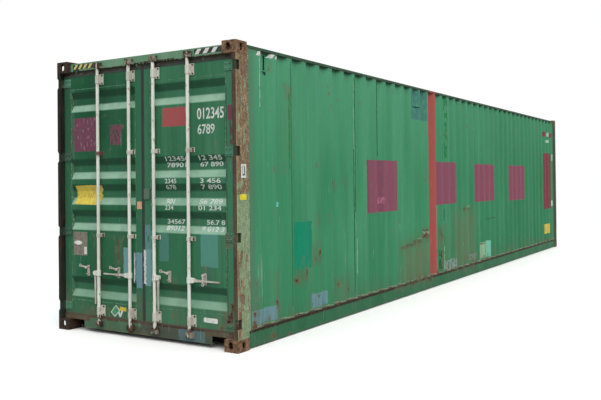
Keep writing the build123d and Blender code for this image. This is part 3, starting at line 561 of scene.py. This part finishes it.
left_rust = side_zones([(2500, 3300, 200, 700), (9400, 10300, 200, 800), (700, 800, 300, 600)])
right_wall_paint = weathered_paint(
    "right_wall_alkyd_paint", wall_tones, (0.17, 0.42), painted_out + right_repairs_and_painted_shade + wall_seam_and_shadow,
    side_zones(smears), side_zones(run_downs), right_bare, tone_changes_and_painted_shade, (1, 0, 0),
)
left_wall_paint = weathered_paint(
    "left_wall_alkyd_paint", wall_tones, (0.17, 0.42), painted_out + left_repairs + wall_seam_and_shadow,
    left_rust, left_rust, (), tone_changes_and_painted_shade, (-1, 0, 0),
)
dress(right_wall_paint, "side_wall_right")
dress(left_wall_paint, "side_wall_left")


def in_order(elements, place_of):
    """Sorts corners or faces by their places. The operators give them in any order, and so a piece
    is the same each run."""
    for index, element in enumerate(sorted(elements, key=lambda element: tuple(place_of(element)))):
        element.index = index
    elements.sort()


def place_piece(name, shape, material, body):
    """Turns a mesh in the making into a piece that moves with a body."""
    in_order(shape.verts, lambda corner: corner.co)
    in_order(shape.faces, lambda face: face.calc_center_median())
    mesh = bpy.data.meshes.new(name)
    shape.to_mesh(mesh)
    shape.free()
    mesh.materials.append(material)
    piece = bpy.data.objects.new(name, mesh)
    bpy.context.collection.objects.link(piece)
    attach(piece, body)
    return piece


def sheet_line(name, level):
    """The line that a corrugated wall follows at one of its edges: a point on each crease."""
    crease_width = 0.006
    edge = [v.co for v in parts[name].data.vertices if abs(v.co.z - level) < 1e-4]
    corners = sorted({(round(spot.y, 4), round(spot.x, 4)) for spot in edge})
    line = [corners[0]]
    for corner in corners[1:]:
        if corner[0] - line[-1][0] > crease_width:
            line.append(corner)
    return [Vector((x, y, level)) for y, x in line]


def add_ring(shape, sides, radius, placing):
    """Adds a ring of edges, and gives them in the same order each time."""
    corners = bmesh.ops.create_circle(shape, segments=sides, radius=radius, matrix=placing)["verts"]
    return list(dict.fromkeys(edge for corner in corners for edge in corner.link_edges))


def weld_bead(shape, line, radius, sides=5):
    """A lumpy bead of weld along a level line: a ring on each point, bridged to the one before."""
    upright = Matrix(((0, 1, 0, 0), (0, 0, -1, 0), (-1, 0, 0, 0), (0, 0, 0, 1)))
    before = []
    for spot in line:
        size = radius * random.uniform(0.85, 1.15)
        ring = add_ring(shape, sides, size, Matrix.Translation(spot) @ upright)
        if before:
            bmesh.ops.bridge_loops(shape, edges=before + ring)
        before = ring


random.seed(7)
weld_radius, weld_inset = 0.004, 0.003
weld_paint = weathered_paint("painted_weld", ("#5a5a45", "#8d9078", "#3d3226"), (0.0, 0.4))
for side in ("right", "left"):
    low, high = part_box(f"side_wall_{side}")
    shape = bmesh.new()
    for level, inward in ((low.z, weld_inset), (high.z, -weld_inset)):
        line = [spot + Vector((0, 0, inward)) for spot in sheet_line(f"side_wall_{side}", level)]
        weld_bead(shape, line, weld_radius)
    bmesh.ops.recalc_face_normals(shape, faces=shape.faces[:])
    place_piece(f"wall_welds_{side}", shape, weld_paint, "container_frame")

# Front wall
# A pressed sheet with deeper corrugations, welded into the closed end. It is seldom touched, so
# its paint has only faded, with grime above the lower rail.
front_paint = weathered_paint("front_alkyd_paint", wall_tones, (0.17, 0.6), outward=(0, 1, 0))
dress(front_paint, "front_wall")

# Roof
# Pressed sheet with a rib across each pitch, and a flat plate over each end. Sun, standing water and crane
# spreaders have chalked the coat and started rust in the dips between the ribs. The pale chalk on what looks
# up is partly painted sky light.
roof_tones = ("#4a7f63", "#6f9a80", "#3c6b52")
roof_rust = [(-1.0, -4.6, -0.7, -4.2), (-0.7, -4.4, -0.5, -3.9)]
roof_rust += [(0.3, -1.5, 0.6, -1.3), (0.5, -1.4, 0.9, -0.9)]
roof_rust += [(-0.5, 2.0, -0.2, 2.1), (-0.2, 2.1, 0.3, 2.3), (0.9, 4.6, 1.1, 5.3), (0.7, 5.0, 0.9, 5.1)]
roof_rust = [((left, near, None), (right, far, None)) for left, near, right, far in roof_rust]
roof_paint = weathered_paint(
    "roof_alkyd_paint", roof_tones, (2.7, 2.8), (), roof_rust, roof_rust, outward=(0, 0, 1), chalk_and_painted_light=0.4,
)
dress(roof_paint, "roof_panel", "roof_end_plates")


# Header and sill
# The header over the doors has hazard stripes at each end, as high containers do. The sill under
# them is a hollow beam with an apron plate, and carries more dirt than any other piece.
def door_zones(rows):
    """Boxes at the door end. A row has the left, right, bottom and top of one, in millimetres off
    the left edge and the ground, and whatever follows them in a row follows the box."""
    zones = []
    for left, right, low, high, *rest in rows:
        near = (left / 1000 - half_width, None, low / 1000)
        far = (right / 1000 - half_width, None, high / 1000)
        zones.append((near, far, *rest))
    return zones


header_marks_and_shade = door_zones([
    # The first row darkens the foot of the header over the gap above the doors: painted shade, with some
    # dirt.
    (0, 2438, 2700, 2783, "#2c2a24", 0.3),
    (0, 2438, 2783, 2792, "#4a3a2e", 0.75),
    (200, 300, 2783, 2860, "#26352a", 0.55),
    (1100, 1650, 2783, 2803, "#3a3226", 0.75),
])
header_tones = ("#629672", "#86a38c", "#527659")
header_paint = weathered_paint("header_alkyd_paint", header_tones, (2.74, 2.78), header_marks_and_shade)
sill_marks = door_zones([
    (1080, 2340, 20, 120, "#4b5347", 0.3),
    (1180, 2020, 116, 152, "#50544a", 0.3),
    (1670, 2005, 30, 152, "#5a7276", 0.55),
    (40, 430, 112, 170, "#5f463b", 0.3),
    (430, 1300, 150, 172, "#5d4a3b", 0.55),
    (690, 850, 140, 185, "#5b4636", 0.55),
    (1300, 2380, 150, 172, "#493a30", 0.55),
    (2020, 2380, 118, 172, "#5f463b", 0.55),
    (0, 2438, 172, 190, "#7d7862", 0.75),
])
sill_rust = door_zones([(60, 450, 110, 190), (2000, 2380, 110, 190), (300, 1300, 30, 60)])
sill_tones = ("#4d7056", "#6b8a70", "#42614a")
sill_paint = weathered_paint("sill_alkyd_paint", sill_tones, (0.0, 0.12), sill_marks, sill_rust)
dress(header_paint, "door_header")
dress(sill_paint, "door_sill")


def plain_finish(name, colour, worn, roughness=0.6, amount=0.6):
    """A printed film, a paint mark or a label: one colour with spots where it has worn or got dirty."""
    material, tree, place = start_material(name)
    worn_spots = spots(tree, place, 0.012, amount, 0.03, 0.9, 7, 2, 3)
    layers = [(spots(tree, place, 0.06, 0.5, 0.15, 0.35, 5, 1, 1), worn), (worn_spots, worn)]
    surface(tree, coats(tree, colour, layers), roughness, [(worn_spots, -0.0001)], 0, 0.35)
    return material


def lay_on(shape, names, facing, lift):
    """Lays a flat shape on CAD pieces: cuts it where they bend, drops its corners on them and turns
    its faces outwards."""
    facing, margin = Vector(facing), 0.001
    triangles, corners = [], []
    for name in names:
        mesh = parts[name].data
        start = len(corners)
        corners += [v.co.copy() for v in mesh.vertices]
        triangles += [[start + k for k in face.vertices] for face in mesh.polygons]
    solid = BVHTree.FromPolygons(corners, triangles)
    across = 0 if facing.y else 1
    for axis in (across, 2):
        low = min(v.co[axis] for v in shape.verts)
        high = max(v.co[axis] for v in shape.verts)
        normal = Vector([1 if k == axis else 0 for k in range(3)])
        for level in sorted({round(c[axis], 4) for c in corners if low + margin < c[axis] < high - margin}):
            cut = {"plane_co": normal * level, "plane_no": normal, "dist": 1e-5}
            bmesh.ops.bisect_plane(shape, geom=shape.verts[:] + shape.edges[:] + shape.faces[:], **cut)
    for vert in shape.verts:
        start = vert.co.copy()
        start[1 - across] = facing[1 - across] * far_off
        spot = solid.ray_cast(start, -facing)[0]
        vert.co = spot + facing * lift
    shape.normal_update()
    bmesh.ops.reverse_faces(shape, faces=[face for face in shape.faces if face.normal.dot(facing) < 0])


def add_outline(shape, outline, facing):
    """Adds a flat face from (across, up) points in millimetres, as the zones give them."""
    corners = []
    for across, up in outline:
        if facing[1]:
            corners.append(Vector((across / 1000 - half_width, facing[1] * far_off, up / 1000)))
        else:
            corners.append(Vector((facing[0] * far_off, door_end + across / 1000, up / 1000)))
    return shape.faces.new([shape.verts.new(corner) for corner in corners])


def mark(name, outlines, names, facing, material, body="container_frame", lift=0.0006):
    """A thin film or painted mark, laid on CAD pieces and moving with a body."""
    shape = bmesh.new()
    for outline in outlines:
        add_outline(shape, outline, facing)
    bmesh.ops.triangulate(shape, faces=shape.faces[:])
    lay_on(shape, names, facing, lift)
    return place_piece(name, shape, material, body)


def slanted(start, end, low, high, count, lean):
    """Outlines of slanted stripes between two places."""
    step = (end - start) / count
    width = step / 2
    stripes = []
    for k in range(count):
        foot = start + k * step
        stripes.append([(foot, low), (foot + width, low), (foot + width + lean, high), (foot + lean, high)])
    return stripes


def rectangle(left, right, low, high):
    """The outline of an upright rectangle."""
    return [(left, low), (right, low), (right, high), (left, high)]


to_door, to_right = (0, -1, 0), (1, 0, 0)
black_film = plain_finish("black_film", "#1d201c", "#3a4338", 0.5)
white_film = plain_finish("white_film", "#e2e5de", "#9aa195", 0.5)
yellow_film = plain_finish("yellow_film", "#d6c03e", "#8a8246", 0.5)
vivid_yellow = plain_finish("yellow_label_film", "#f0dd22", "#a89a2a", 0.5, 0.64)
pale_yellow = plain_finish("faded_yellow_film", "#cfc777", "#8f8c5a", 0.5)
header = ["door_header"]
mark("header_band_left", [rectangle(200, 540, 2807, 2860)], header, to_door, black_film)
mark("header_stripes_left", slanted(202, 500, 2809, 2858, 4, 38), header, to_door, pale_yellow, lift=0.001)
mark("header_band_right", [rectangle(1900, 2245, 2807, 2860)], header, to_door, black_film)
mark("header_stripes_right", slanted(1905, 2205, 2809, 2858, 3, 38), header, to_door, white_film, lift=0.001)
side_stripes = slanted(330, 440, 2792, 2836, 1, 40) + slanted(400, 480, 2792, 2836, 1, 40)
side_stripes += slanted(540, 680, 2796, 2838, 1, 44) + slanted(650, 740, 2796, 2838, 1, 40)
mark("side_stripes", side_stripes, ["side_wall_right"], to_right, white_film)

# Keepers
# Forged steel blocks welded to the header and the sill, whose mouths hold the cams of the rods.
# They are galvanised, and the zinc has gone dull with brown stains.
keeper_steel = rusted_steel("stained_zinc_keeper", ("#2a241f", "#473c32", "#66503d", "#928d7e"), 0.55)
dress(keeper_steel, "cam_keepers")

# Door leaves
# Welded tube frames with a pressed panel, in a darker coat of the same green, the right one more
# faded. Patches are brushed over in maroon, red and blue grey, and some are scraped bare again.
panel_back = -6.014
recess = (None, panel_back, 0.28), (None, panel_back + 0.114, 2.64)
door_haze = [(*recess, 0.012, "#4d8067", 0.25)] + door_zones([
    (0, 2438, 100, 420, 0.12, "#678a6f", 0.16),
    (0, 900, 1900, 2800, 0.2, "#113d25", 0.45),
    (40, 160, 100, 2900, 0.05, "#3d6149", 0.4),
    (1100, 1216, 300, 2750, 0.02, "#3d7456", 0.5),
    (2300, 2440, 300, 2750, 0.03, "#4a8867", 0.5),
])
left_patches = door_zones([
    (165, 560, 1920, 2280, "#6e4353", 0.3),
    (175, 555, 1930, 2270, "#8d6c7b", 1.6),
    (755, 920, 1975, 2185, "#734555", 0.3),
    (760, 915, 1980, 2180, "#3f4a44", 1.3),
    (935, 1045, 625, 915, "#6a9c9e", 0.3),
    (1098, 1216, 510, 870, "#698f96", 0.0),
    (845, 870, 770, 985, "#5a4130", 0.3),
    (175, 215, 350, 2600, "#3d6a50", 0.9),
    (640, 700, 1560, 1900, "#2f6246", 0.9),
])
right_patches = door_zones([
    (1485, 1800, 2130, 2315, "#a05352", 0.0),
    (2296, 2384, 2160, 2300, "#744555", 0.3),
    (2320, 2370, 1930, 2160, "#5e4a48", 0.9),
    (1235, 1345, 540, 910, "#6d9999", 0.3),
    (1235, 1345, 910, 1155, "#5a8a84", 0.75),
    (1430, 1555, 800, 1075, "#497c6e", 0.3),
    (1960, 2170, 770, 1090, "#528c7c", 0.3),
    (1976, 2100, 560, 770, "#416d58", 0.55),
    (2262, 2290, 300, 2500, "#345f45", 0.75),
])
left_rust = [(300, 700, 150, 230), (850, 900, 760, 1000), (540, 580, 400, 1000)]
left_rust += [(1140, 1200, 180, 420), (30, 120, 200, 420)]
right_rust = [(1600, 1670, 200, 330), (2180, 2390, 170, 440), (2290, 2400, 980, 1180)]
right_rust += [(1570, 1650, 400, 600), (2300, 2400, 1800, 1900)]
left_leaf, right_leaf = ["door_left_frame", "door_left_panel"], ["door_right_frame", "door_right_panel"]
left_tones, right_tones = ("#225f3f", "#3a7353", "#1d5236"), ("#336f4e", "#518a69", "#295f42")
leaves = (
    ("left", left_leaf, left_tones, left_patches, left_rust),
    ("right", right_leaf, right_tones, right_patches, right_rust),
)
for side, leaf, tones, patches, rust in leaves:
    rust = door_zones(rust)
    leaf_paint = weathered_paint(
        f"{side}_door_alkyd_paint", tones, (0.17, 0.24), patches, rust, rust, (), door_haze, (0, -1, 0), 0.95,
    )
    dress(leaf_paint, *leaf)


def write_digits(shape, text, left, low, height, width):
    """Adds upright plain digits, from millimetres on the doors, as a flat mesh."""
    curve = bpy.data.curves.new("digits", "FONT")
    curve.body = text
    curve.offset = 0.018
    holder = bpy.data.objects.new("digits", curve)
    bpy.context.collection.objects.link(holder)
    mesh = bpy.data.meshes.new_from_object(holder.evaluated_get(bpy.context.evaluated_depsgraph_get()))
    across = [v.co.x for v in mesh.vertices]
    up = [v.co.y for v in mesh.vertices]
    wide, tall = max(across) - min(across), max(up) - min(up)
    for vert in mesh.vertices:
        x = left + (vert.co.x - min(across)) / wide * width
        z = low + (vert.co.y - min(up)) / tall * height
        vert.co = (x / 1000 - half_width, -far_off, z / 1000)
    shape.from_mesh(mesh)
    bpy.data.objects.remove(holder)
    bpy.data.meshes.remove(mesh)
    bpy.data.curves.remove(curve)


digit_rows = [
    ("012345", 1930, 2182, 108, 326),
    ("6789", 1936, 2038, 96, 208),
    ("123456", 1510, 1790, 46, 300),
    ("78901", 1510, 1728, 46, 250),
    ("12 345", 1936, 1790, 46, 280),
    ("67 890", 1936, 1728, 46, 280),
    ("2345", 1510, 1570, 46, 150),
    ("678", 1510, 1510, 46, 130),
    ("3 456", 1960, 1570, 46, 250),
    ("7 890", 1960, 1510, 46, 250),
    ("901", 1510, 1370, 46, 110),
    ("234", 1510, 1310, 46, 110),
    ("56 789", 1936, 1370, 46, 280),
    ("01 234", 1936, 1310, 46, 280),
    ("34567", 1510, 1170, 46, 230),
    ("89012", 1510, 1106, 46, 230),
    ("56.7 8", 2010, 1170, 46, 220),
    ("9 012 3", 1960, 1106, 46, 270),
]
stencil_paint = plain_finish("stencilled_white_paint", "#d3dbd2", "#6f8a78", 0.6, 0.64)
digits = bmesh.new()
for row in digit_rows:
    write_digits(digits, *row)
lay_on(digits, right_leaf, to_door, 0.0005)
place_piece("door_digits", digits, stencil_paint, "door_right")

seam_paint = plain_finish("painted_seam", "#2f6347", "#74a184", 0.7, 0.56)
for side, leaf, edges in (("left", left_leaf, (164, 1116)), ("right", right_leaf, (1322, 2274))):
    seams = [rectangle(edge - 3, edge + 3, 283, 2634) for edge in edges]
    seams += [rectangle(edges[0], edges[1], level - 3, level + 3) for level in (330, 2590)]
    mark(f"door_seams_{side}", seams, leaf, to_door, seam_paint, f"door_{side}")

placard_film = plain_finish("bare_yellow_placard", "#dcc64a", "#8a7f3c", 0.5, 0.62)
torn_film = [(212, 1357), (545, 1349), (575, 1366), (592, 1392), (580, 1420), (612, 1447)]
torn_film += [(590, 1478), (622, 1512), (620, 1556), (470, 1560), (215, 1553)]
mark("placard", [torn_film], left_leaf, to_door, placard_film, "door_left")
faded_orange = plain_finish("faded_orange_film", "#cfa98c", "#b98a6a", 0.5, 0.6)
mark("orange_label", [rectangle(1133, 1203, 1312, 1388)], left_leaf, to_door, faded_orange, "door_left")
pill = [(1990, 250), (2000, 243), (2150, 240), (2160, 248)]
pill += [(2162, 278), (2150, 286), (2000, 288), (1990, 280)]
mark("pill_label", [pill], right_leaf, to_door, white_film, "door_right")
green_film = plain_finish("green_film", "#3f8f62", "#2f6a4a", 0.5, 0.6)
white_edge = [(745, 236), (821, 316), (882, 262), (804, 189)]
white_corner = [(846, 262), (866, 198), (892, 194), (925, 262), (898, 262), (880, 222), (868, 262)]
diamond = [(757, 237), (820, 304), (869, 261), (805, 202)]
corner_yellow = [(872, 262), (968, 258), (972, 298), (880, 302)]
mark("corner_label_white", [white_edge, white_corner], left_leaf, to_door, white_film, "door_left")
mark("corner_label_green", [diamond], left_leaf, to_door, green_film, "door_left", 0.001)
mark("corner_label_yellow", [corner_yellow], left_leaf, to_door, yellow_film, "door_left", 0.001)

# Plates
# Two bare data plates of thin aluminium, riveted to the left leaf and gone brown, with what is
# left of two labels on them.
plate_metal, tree, place = start_material("dirty_aluminium")
brown_film = [
    (spots(tree, place, 0.05, 0.5, 0.1, 0.8, 6), "#6a6054"),
    (spots(tree, place, 0.012, 0.6, 0.04, 0.8, 6), "#8f8a7e"),
    (spots(tree, place, 0.02, 0.64, 0.03, 0.8, 7, 1, 4), "#4a3c30"),
]
plate_grain = [(pattern(tree, place, 0.01, 4), 0.0002)]
surface(tree, coats(tree, "#7b7468", brown_film), 0.55, plate_grain, 0.25)


def slab(shape, left, right, low, high, back, front, edge):
    """Adds a thin upright plate on the doors, in millimetres, with its front edges bevelled."""
    corners = [(x / 1000 - half_width, back, z / 1000) for x, z in rectangle(left, right, low, high)]
    face = shape.faces.new([shape.verts.new(corner) for corner in corners])
    pulled = bmesh.ops.extrude_face_region(shape, geom=[face])["geom"]
    moved = [item for item in pulled if isinstance(item, bmesh.types.BMVert)]
    bmesh.ops.translate(shape, verts=moved, vec=(0, front - back, 0))
    rim = [item for item in pulled if isinstance(item, bmesh.types.BMEdge)]
    bmesh.ops.bevel(shape, geom=rim, offset=edge, segments=2, profile=0.5, affect="EDGES", material=-1)


def turned(shape, profile, place, aim, sides):
    """Adds a turned or hexagonal head: (radius, height) rings along the way that it faces."""
    place, aim = Vector(place), Vector(aim)
    facing = aim.to_track_quat("Z", "Y").to_matrix().to_4x4() @ Matrix.Rotation(-math.tau / 4, 4, "Z")
    ring = add_ring(shape, sides, profile[0][0], Matrix.Translation(place) @ facing)
    for (wide, low), (narrow, high) in zip(profile, profile[1:]):
        pulled = bmesh.ops.extrude_edge_only(shape, edges=ring)["geom"]
        ring = [item for item in pulled if isinstance(item, bmesh.types.BMEdge)]
        corners = [item for item in pulled if isinstance(item, bmesh.types.BMVert)]
        shrink, about = Vector((narrow / wide,) * 3), Matrix.Translation(-place - aim * low)
        bmesh.ops.scale(shape, verts=corners, vec=shrink, space=about)
        bmesh.ops.translate(shape, verts=corners, vec=aim * (high - low))
    bmesh.ops.contextual_create(shape, geom=ring)


leaf_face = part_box("door_left_frame")[0].y
panel_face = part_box("door_left_panel")[0].y
rivet_head = [(0.004, 0), (0.004, 0.0008), (0.003, 0.0018), (0.0012, 0.0022)]
plate_low, plate_high, inset_across, inset_up = 808, 1058, 10, 12
plate_thickness = 0.0012
plate_face = panel_face - plate_thickness
plates = bmesh.new()
for left, right in ((190, 297), (301, 402)):
    slab(plates, left, right, plate_low, plate_high, panel_face, plate_face, 0.0005)
    for across in (left + inset_across, right - inset_across):
        for up in (plate_low + inset_up, plate_high - inset_up):
            turned(plates, rivet_head, (across / 1000 - half_width, plate_face, up / 1000), to_door, 10)
bmesh.ops.recalc_face_normals(plates, faces=plates.faces[:])
place_piece("data_plates", plates, plate_metal, "door_left")
oval = [(263 + 62 * math.cos(math.tau * k / 24), 942 + 22 * math.sin(math.tau * k / 24)) for k in range(24)]
torn_label = rectangle(355, 396, 822, 900)
left_panel, over_plate = ["door_left_panel"], plate_thickness + 0.001
mark("plate_oval", [oval], left_panel, to_door, white_film, "door_left", over_plate)
mark("plate_label", [torn_label], left_panel, to_door, white_film, "door_left", over_plate)

# Gaskets
# Extruded black EPDM seals round each leaf. Their outer lips close the gap between the leaves and
# the gaps to the header and the sill, and strips of white tape are left on the middle one.
rubber, tree, place = start_material("epdm_rubber")
height = add_node(tree, "SeparateXYZ", [place]).outputs["Z"]
low_down = add_node(tree, "MapRange", [height, 0.195, 0.18, 0, 0.8])
dusty = [(spots(tree, place, 0.05, 0.55, 0.1, 0.5, 6, 4), "#2b3630"), (low_down, "#4d4034")]
surface(tree, coats(tree, "#191f1d", dusty), 0.62, [(pattern(tree, place, 0.01, 3), 0.0004)])
dress(rubber, "door_left_gasket", "door_right_gasket")
lip_face, lip_back = leaf_face - 0.0022, leaf_face - 0.0002
lip_strips = [(2, 20, 168, 2748), (22, 1158, 2728, 2750), (22, 1158, 168, 183)]
middle = half_width * 1000
for side, way in (("left", -1), ("right", 1)):
    lips = bmesh.new()
    for near, far, low, high in lip_strips:
        across = sorted((middle + way * near, middle + way * far))
        slab(lips, *across, low, high, lip_back, lip_face, 0.0008)
    place_piece(f"gasket_lips_{side}", lips, rubber, f"door_{side}")
tape = plain_finish("torn_white_tape", "#e3e5df", "#8c9a90", 0.7, 0.58)
tape_thickness = 0.0006
strips = (("left", 1081, 1097, 552, 870, leaf_face), ("right", 1222, 1256, 556, 908, lip_face))
for side, left, right, low, high, under in strips:
    strip = bmesh.new()
    edge = [(left + random.uniform(-3, 5), up) for up in range(high, low, -23)]
    edge += [(right + random.uniform(-6, 3), up) for up in range(low, high, 24)]
    add_outline(strip, edge, to_door)
    bmesh.ops.triangulate(strip, faces=strip.faces[:])
    for vert in strip.verts:
        vert.co.y = under - tape_thickness
    place_piece(f"white_tape_{side}", strip, tape, f"door_{side}")

# Hinges
# Four forged blades on each leaf, turning on pins in the lugs of the post, painted with the door and held by
# four rivets each. Round the pins they are dark brown on the right leaf and near black on the left, where the
# middle two are darker all over.
knuckles = [
    ((1.15, None, None), (2, None, None), 0.004, "#33291f", 0.85),
    ((-2, None, None), (-1.15, None, None), 0.004, "#211c17", 0.9),
    ((-2, None, 0.9), (-0.9, None, 2.0), 0.05, "#26332d", 0.65),
]
hinge_rust = [((1.0, None, 0.18), (1.3, None, 0.34)), ((1.0, None, 0.98), (1.3, None, 1.14))]
hinge_paint = weathered_paint(
    "hinge_alkyd_paint", ("#427c5e", "#6a9a80", "#2f5a44"), (0.0, 0.1), rust=hinge_rust, haze=knuckles,
)
dress(hinge_paint, "door_left_hinges", "door_right_hinges")
hinge_heights = [0.260, 1.060, 1.865, 2.665]
blade_thickness, rivet_columns, rivet_reach = 0.008, (1.070, 1.115), 0.025
hinge_face = leaf_face - blade_thickness
dome_head = [(0.010, 0), (0.010, 0.002), (0.0085, 0.0055), (0.005, 0.0075), (0.002, 0.008)]
for side, way in (("left", -1), ("right", 1)):
    rivets = bmesh.new()
    for height in hinge_heights:
        for across in rivet_columns:
            for up in (-rivet_reach, rivet_reach):
                turned(rivets, dome_head, (way * across, hinge_face, height + up), to_door, 12)
    bmesh.ops.recalc_face_normals(rivets, faces=rivets.faces[:])
    place_piece(f"hinge_rivets_{side}", rivets, hinge_paint, f"door_{side}")


# Locking rods and brackets
# Tubes with forged cams, in brackets bolted to the leaves. All are hot dip galvanised: pale grey
# zinc, chalky with age, with rust where the rods turn and at their ends.
def galvanised(name, pale, grey, rust_low, rust_high, marks=()):
    """Aged zinc that rusts above and below the given heights, with (low, high, colour) marks."""
    material, tree, place = start_material(name)
    spot = add_node(tree, "SeparateXYZ", [place]).outputs
    height = spot["Z"]
    foot = add_node(tree, "MapRange", [height, rust_low + 0.1, rust_low - 0.03])
    head = add_node(tree, "MapRange", [height, rust_high - 0.06, rust_high + 0.04])
    ends = add_node(tree, "Math", [foot, head], operation="MAXIMUM")
    rusty = add_node(tree, "Math", [ends, 0.2, pattern(tree, place, 0.03, 8, 2)], operation="MULTIPLY_ADD")
    bloom = add_node(tree, "MapRange", [rusty, 0.67, 0.72])
    layers = [
        (spots(tree, place, 0.12, 0.5, 0.1, 0.8, 5, 3), grey),
        (spots(tree, place, 0.008, 0.66, 0.03, 0.7, 4, 2), "#7c7766"),
        (add_node(tree, "MapRange", [rusty, 0.58, 0.7, 0, 0.8]), "#8d7c66"),
        (bloom, "#5b4233"),
    ]
    layers += [(box_mask(tree, spot, low, high, 0.002, 0.9), colour) for low, high, colour in marks]
    relief = [(pattern(tree, place, 0.006, 2), 0.0003), (bloom, 0.0003)]
    surface(tree, coats(tree, pale, layers), 0.5, relief)
    return material


rod_zinc = galvanised("chalky_zinc_rod", "#dfe3d8", "#c9cdc2", 0.17, 2.76)
red_guide = ((-0.66, -6.11, 1.865), (-0.54, -6.04, 1.92), "#54281f")
bracket_zinc = galvanised("chalky_zinc_bracket", "#cbcbbf", "#adaca0", 0.0, 2.9, [red_guide])
dress(rod_zinc, *[f"locking_rod_{number}" for number in range(1, 5)])
dress(bracket_zinc, "door_left_rod_brackets", "door_right_rod_brackets")
bolt_steel = rusted_steel("rusty_bolt_steel", ("#3a2d25", "#594436", "#7a5c44", "#8d8674"), 0.62)
inner_rod, outer_rod = 0.168, 0.617
bolt_offset, bracket_thickness = 0.047, 0.006
bracket_face = leaf_face - bracket_thickness
bracket_rows = [(0.245, 0.042), (1.034, 0.009), (1.892, 0.011), (2.670, 0.043)]
bolt_head = [(0.011, 0), (0.011, 0.0018), (0.0085, 0.0018), (0.0085, 0.007), (0.0072, 0.008)]
for side, rods in (("left", (-outer_rod, -inner_rod)), ("right", (inner_rod, outer_rod))):
    bolts = bmesh.new()
    for rod in rods:
        for height, reach in bracket_rows:
            for up in (-reach, reach):
                turned(bolts, bolt_head, (rod + bolt_offset, bracket_face, height + up), to_door, 6)
    bmesh.ops.recalc_face_normals(bolts, faces=bolts.faces[:])
    place_piece(f"bracket_bolts_{side}", bolts, bolt_steel, f"door_{side}")

# Handles, catches and hasps
# Flat forged bars that turn the rods, the catches that they rest in and the hasps that take a padlock.
# Galvanised like the rods.
handle_zinc = galvanised("worn_zinc_handle", "#cbc8bd", "#a19c91", 0.0, 2.9)
cover_plate = ((0.01, -6.2, 1.40), (0.12, -5.9, 1.53), "#24523a")
catch_zinc = galvanised("worn_zinc_catch", "#bdb9ad", "#958f84", 0.0, 2.9, [cover_plate])
dress(handle_zinc, *[f"handle_{number}" for number in range(1, 5)])
dress(handle_zinc, *[f"hasp_{number}" for number in range(1, 5)])
dress(catch_zinc, "door_left_catches", "door_right_catches")

# Labels on the right side
# A bare white label and a yellow one on the post, small stickers on the wall, and what is left of
# white paint marks near the far end.
cyan_film = plain_finish("cyan_film", "#5ccabb", "#3f9a86", 0.5)
post, wall = ["door_post_right"], ["side_wall_right"]
mark("post_label_white", [rectangle(72, 152, 1616, 1744)], post, to_right, white_film)
mark("post_label_dark", [rectangle(92, 132, 1636, 1724)], post, to_right, black_film, lift=0.0009)
mark("post_label_bare", [rectangle(98, 118, 1650, 1722)], post, to_right, white_film, lift=0.0012)
mark("post_label_yellow", [rectangle(52, 150, 1410, 1462)], post, to_right, vivid_yellow)
mark("wall_label_cyan", [rectangle(655, 745, 1324, 1374)], wall, to_right, cyan_film)
mark("wall_label_yellow", [rectangle(11190, 11700, 355, 565)], wall, to_right, yellow_film)
far_marks = [rectangle(11470, 11700, 2505, 2590), rectangle(11430, 11700, 2365, 2425)]
far_marks += [rectangle(11810, 11900, 1965, 2110), rectangle(11770, 11870, 940, 1070)]
faded_white = plain_finish("faded_white_paint", "#b4d2be", "#5f9a7c", 0.6, 0.58)
mark("wall_marks_white", far_marks, wall, to_right, faded_white)
